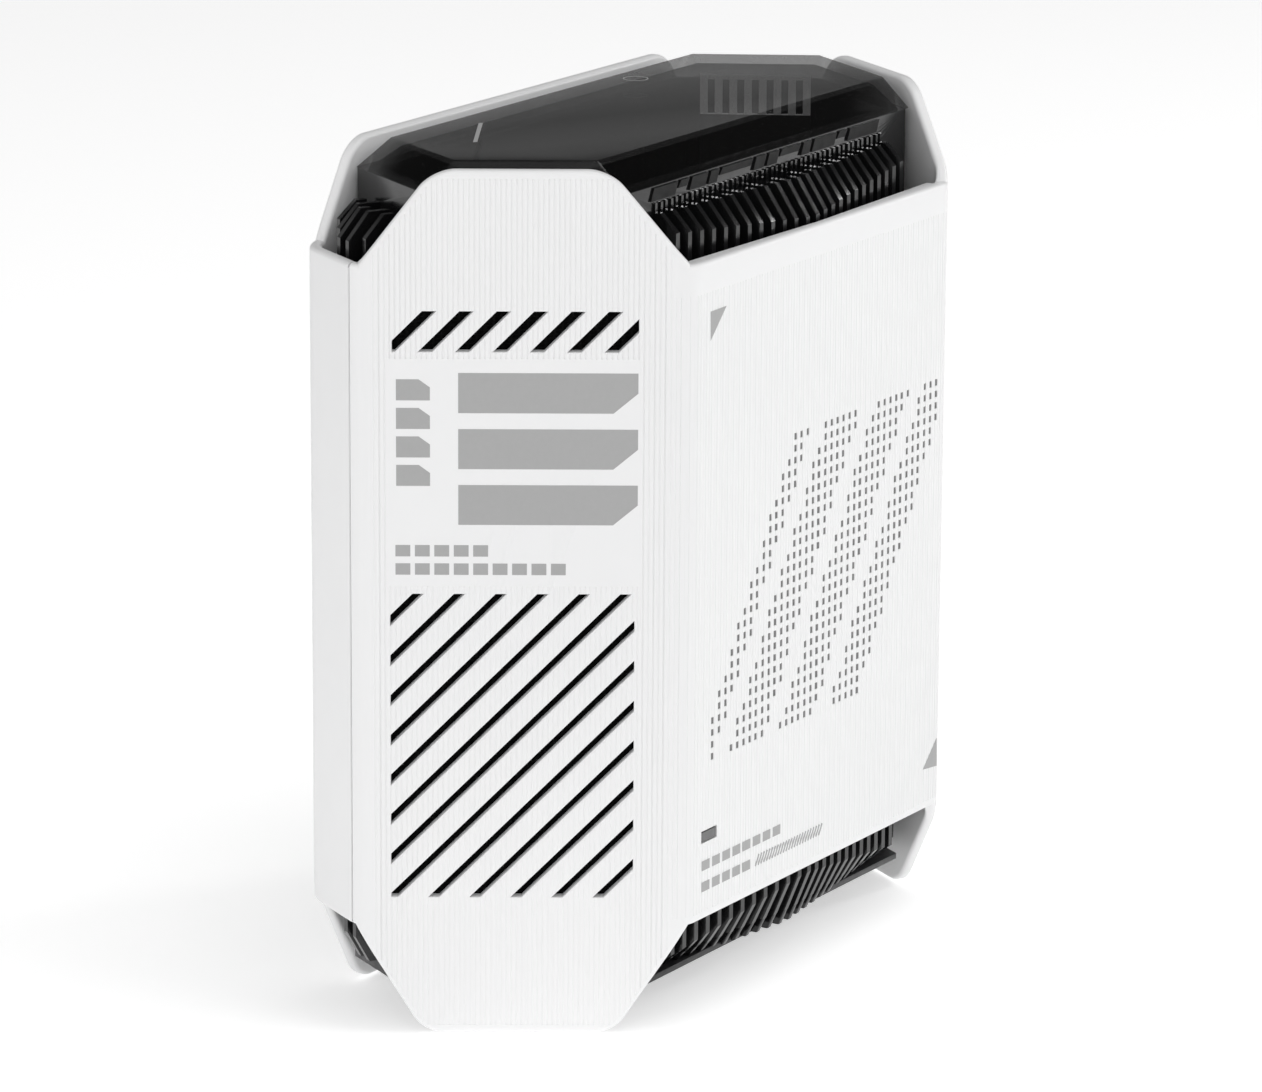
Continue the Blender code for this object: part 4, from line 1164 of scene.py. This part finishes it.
def rocker_marks():
    """Raised bar and ring on the two faces of the rocker."""
    low, high = node_box("switch_housing")
    pivot = Matrix.Translation(((low.x + high.x) / 2, ROCKER_PIVOT_Y, (low.z + high.z) / 2))
    tilt = Matrix.Rotation(math.radians(-ROCKER_TILT), 4, "X")
    bar, ring = bmesh.new(), bmesh.new()
    prism_into(bar, rectangle(-0.35, 0.35, 2.2, 4.8), 0.0, 0.1)
    ring_into(ring, (0, -3.6), 0.85, 0.45, 0.0, 0.1, 24)
    for name, mark, sign in (("rocker_bar", bar, 1), ("rocker_ring", ring, -1)):
        dish = Matrix.Translation((0, ROCKER_DISH, 0)) @ Matrix.Rotation(sign * -ROCKER_SLOPE, 4, "X")
        moved(mark, pivot @ tilt @ dish @ BACKWARD)
        own_piece(finish_object(name, mark, FINISH["print"]), body="rocker")


def panel_marks():
    """Plain port symbols: a ring, dots that count the other jacks and a triangle over the host port."""
    bm = bmesh.new()
    for count, jack in enumerate(JACKS):
        low, high = node_box(jack)
        middle = -(low.x + high.x) / 2
        if not count:
            ring_into(bm, (middle, PANEL_MARK_Z), 0.9, 0.35, *PANEL_INK, 28)
        for k in range(count):
            x = middle - (k - (count - 1) / 2) * 2.0
            prism_into(bm, rectangle(x - 0.5, x + 0.5, PANEL_MARK_Z - 0.5, PANEL_MARK_Z + 0.5), *PANEL_INK)
    low, high = node_box("usb_port")
    middle = -(low.x + high.x) / 2
    prism_into(bm, [(middle - 1.1, PANEL_MARK_Z - 0.8), (middle + 1.1, PANEL_MARK_Z - 0.8),
                    (middle, PANEL_MARK_Z + 0.9)], *PANEL_INK)
    moved(bm, rear_face_frame(node_box("connector_panel")[1].y + 0.005))
    own_piece(finish_object("panel_marks", bm, FINISH["pale_print"]))


def connector_bay():
    """Everything that shows in the rear window."""
    rounded_node("connector_panel", "bay_panel", "satin_black", 0.3, smooth=0)
    jacks()
    usb_details()
    inlet_pin()
    rounded_node("dc_inlet", "inlet_body", "black", 0.25)
    rounded_node("switch_housing", "switch_frame", "black", 0.25)
    rounded_node("power_switch", "rocker_cap", "black", 0.3, segments=3, body="rocker")
    rounded_node("pairing_button", "pairing_cap", "satin_black", 0.2, body="pairing_key")
    rocker_marks()
    panel_marks()


# ======== base
def fin_feet():
    """Feet of the lower front fins, which reach down over the edge of the base plate."""
    core = HALF_DEPTH - FRAME_INSET
    turn = Matrix(((0, 0, 1), (-1, 0, 0), (0, 1, 0))).to_4x4()
    high = BASE_STEP + 0.1
    half = (FOOT_FINS - 1) / 2
    feet = bmesh.new()
    for k in range(FOOT_FINS):
        share = 1 - abs(k - half) / half
        reach, knee = (one + (two - one) * share for one, two in (FOOT_REACH, FOOT_KNEE))
        lean = (FOOT_TAPER + share) / (knee - FOOT_JOIN)
        outer = reach - FOOT_TAPER - share
        low = high - FOOT_DROP * share
        tip = outer - lean * (FOOT_JOIN - low)
        outline = [(-0.1, FOOT_JOIN), (-0.1, high)]
        if tip > FOOT_CLEAR + 0.4:
            outline += [(FOOT_CLEAR, high), (FOOT_CLEAR, low), (tip, low)]
        else:
            outline += [(outer - lean * (FOOT_JOIN - high), high)]
        foot = bmesh.new()
        prism_into(foot, outline + [(outer, FOOT_JOIN)], -FOOT_THICK / 2, FOOT_THICK / 2)
        moved(foot, Matrix.Translation(((k - half) * FOOT_PITCH, -core, 0)) @ turn)
        part = bpy.data.meshes.new("foot")
        foot.to_mesh(part)
        foot.free()
        feet.from_mesh(part)
        bpy.data.meshes.remove(part)
    blank = finish_object("fin_feet_blank", feet, FINISH["fin_black"])
    bevel(blank, 0.2)
    own_piece(settle(blank, "fin_feet", 30))


def base():
    """Base plate with slanting vents between the feet and a step under the front fins."""
    low, high = node_box("base_plate")
    blank = merged_copy("base_plate", "base_blank", FINISH["satin_black"])
    step = box("base_step", -70, 70, -60, FRAME_INSET - HALF_DEPTH + 0.2, BASE_STEP, 20)
    boolean(blank, step)
    bevel(blank, 0.4)
    places = [(k * BASE_VENT_PITCH, BASE_VENT_Y, (low.z + high.z) / 2, 8.0, math.radians(-35), 0.0)
              for k in range(-BASE_VENTS, BASE_VENTS + 1)]
    cutter = bars("base_vents", places, 1.6, 14.0)
    plate = settle(blank, "base_rounded", 0)
    boolean(plate, cutter, solver="MANIFOLD")
    own_piece(settle(plate, "base_cover", 30), "base_plate")
    drop(cutter, step)


# ======== carried-over nodes
def numbered(stem, count=4):
    """Names of nodes that differ only in their number."""
    return [f"{stem}_{k}" for k in range(1, count + 1)]


CARRIED = {
    # The slot screens take the near-black screen finish with its painted shade.
    "screen": ["slot_screen_left", "slot_screen_right"],
    "lens": ["indicator_lens"],
    "diffuser": ["front_light_guide", "light_ring"],
    "board": ["main_board", "front_light_board", "top_light_board", "antenna_left_low", "antenna_left_high",
              "antenna_right_low", "antenna_right_high", "antenna_rear_left", "antenna_rear_right"],
    "aluminium": ["heat_sink", "rear_heat_spreader"],
    "steel": ["processor_shield", "radio_shield_low", "radio_shield_high", "pairing_button_tact_switch",
              "reset_button_tact_switch", *numbered("base_screw"), *numbered("board_screw")],
    "black": ["usb_tongue"],
    "satin_black": ["reset_button"],
    # The louvre's finish carries a painted glow and a painted highlight.
    "louvre": ["inner_louvre"],
    "rubber": numbered("rubber_foot"),
    "pad": ["thermal_pad"],
    "film": ["label_plate"],
}


def paint_carried_nodes():
    """Give each fixed node that stays its real finish."""
    for finish, names in CARRIED.items():
        for name in names:
            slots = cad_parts[name].material_slots
            if not slots:
                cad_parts[name].data.materials.append(FINISH[finish])
            for entry in slots:
                entry.material = FINISH[finish]


# ======== studio
CAMERA_AIM = (17.6, 18.6, 77.9)
CAMERA_AZIMUTH = -58.17
CAMERA_ELEVATION = 14.45
CAMERA_ROLL = 0.33
CAMERA_DISTANCE = 1315.0
CAMERA_LENS = 178.5

# where each soft box stands, how far off in metres, its size and its power
LIGHTS = {
    "key": ((-1.0, -0.75, 0.75), 1.6, 1.3, 2.7),
    "front": ((0.25, -1.0, 0.55), 1.6, 1.2, 3.1),
    "left": ((-1.0, 0.75, 0.45), 1.6, 1.1, 4.5),
    "top": ((0.1, -0.35, 1.0), 1.9, 1.0, 8.0),
    "glint": ((0.82, -0.48, 0.32), 1.5, 0.18, 3.2),
}
FLOOR_GLOW = 0.5
WORLD_FRONT = 0.62
WORLD_FRONT_WAY = (-0.85, -0.53, 0.0)
WORLD_BEHIND = (0.2, 0.36)
WORLD_ABOVE = 0.04


def camera():
    """A long lens from the front left, a little above the lid."""
    azimuth, elevation, roll = (math.radians(v) for v in (CAMERA_AZIMUTH, CAMERA_ELEVATION, CAMERA_ROLL))
    back = Vector((math.sin(azimuth) * math.cos(elevation), -math.cos(azimuth) * math.cos(elevation),
                   math.sin(elevation)))
    level = Vector((0, 0, 1)).cross(back).normalized()
    upright = back.cross(level)
    right = level * math.cos(roll) + upright * math.sin(roll)
    turn = Matrix((right, back.cross(right), back)).transposed().to_4x4()
    data = bpy.data.cameras.new("camera")
    data.sensor_width = 36.0
    data.lens = CAMERA_LENS
    data.clip_start = 0.05
    data.clip_end = 50.0
    obj = linked("camera", data)
    obj.matrix_world = Matrix.Translation((Vector(CAMERA_AIM) + back * CAMERA_DISTANCE) * MM) @ turn
    bpy.context.scene.camera = obj


def soft_light(name, toward, distance, size, power):
    """A square soft box that faces the middle of the router."""
    data = bpy.data.lights.new(name, "AREA")
    data.shape = "SQUARE"
    data.size = size
    data.energy = power
    middle = Vector((0, 0, 0.09))
    place = middle + Vector(toward).normalized() * distance
    turn = (middle - place).to_track_quat("-Z", "Y").to_matrix().to_4x4()
    linked(name, data).matrix_world = Matrix.Translation(place) @ turn


def pale_floor():
    """Near-white matt floor with a little glow of its own, as a lit table has."""
    return principled("pale_floor", (0.9, 0.9, 0.9), 0.9, Emission_Color=(1.0, 1.0, 1.0, 1.0),
                      Emission_Strength=FLOOR_GLOW)[0]


def surroundings():
    """A world that is bright in front and dark behind, with a paler wall low down behind."""
    world = bpy.data.worlds.new("studio")
    world.use_nodes = True
    tree = world.node_tree
    toward = tree.nodes.new("ShaderNodeTexCoord").outputs["Generated"]
    facing = node(tree, "ShaderNodeVectorMath", {0: toward, 1: WORLD_FRONT_WAY}, operation="DOT_PRODUCT")
    height = node(tree, "ShaderNodeSeparateXYZ", {"Vector": toward}).outputs["Z"]
    wall = ramp(tree, height, 0.19, 0.31, *WORLD_BEHIND)
    behind = ramp(tree, height, 0.36, 0.45, wall, WORLD_ABOVE, "SMOOTHSTEP")
    share = ramp(tree, facing.outputs["Value"], -0.3, 0.6, 0.0, 1.0, "SMOOTHSTEP")
    fade = node(tree, "ShaderNodeMix", {"Factor": share, 2: behind, 3: WORLD_FRONT})
    tree.links.new(fade.outputs[0], tree.nodes["Background"].inputs["Color"])
    bpy.context.scene.world = world


def studio():
    """Pale floor, surroundings and soft boxes."""
    bm = bmesh.new()
    bmesh.ops.create_grid(bm, x_segments=1, y_segments=1, size=30000)
    finish_object("floor", bm, pale_floor())
    surroundings()
    bpy.context.scene.view_settings.view_transform = "Standard"
    for name, (toward, distance, size, power) in LIGHTS.items():
        soft_light(name, toward, distance, size, power)


def main():
    """Dress the router and light it."""
    camera()
    studio()
    casings()
    tall_face_prints()
    front_face_prints()
    frames()
    lid()
    relief_band()
    connector_bay()
    base()
    fin_feet()
    paint_carried_nodes()


main()
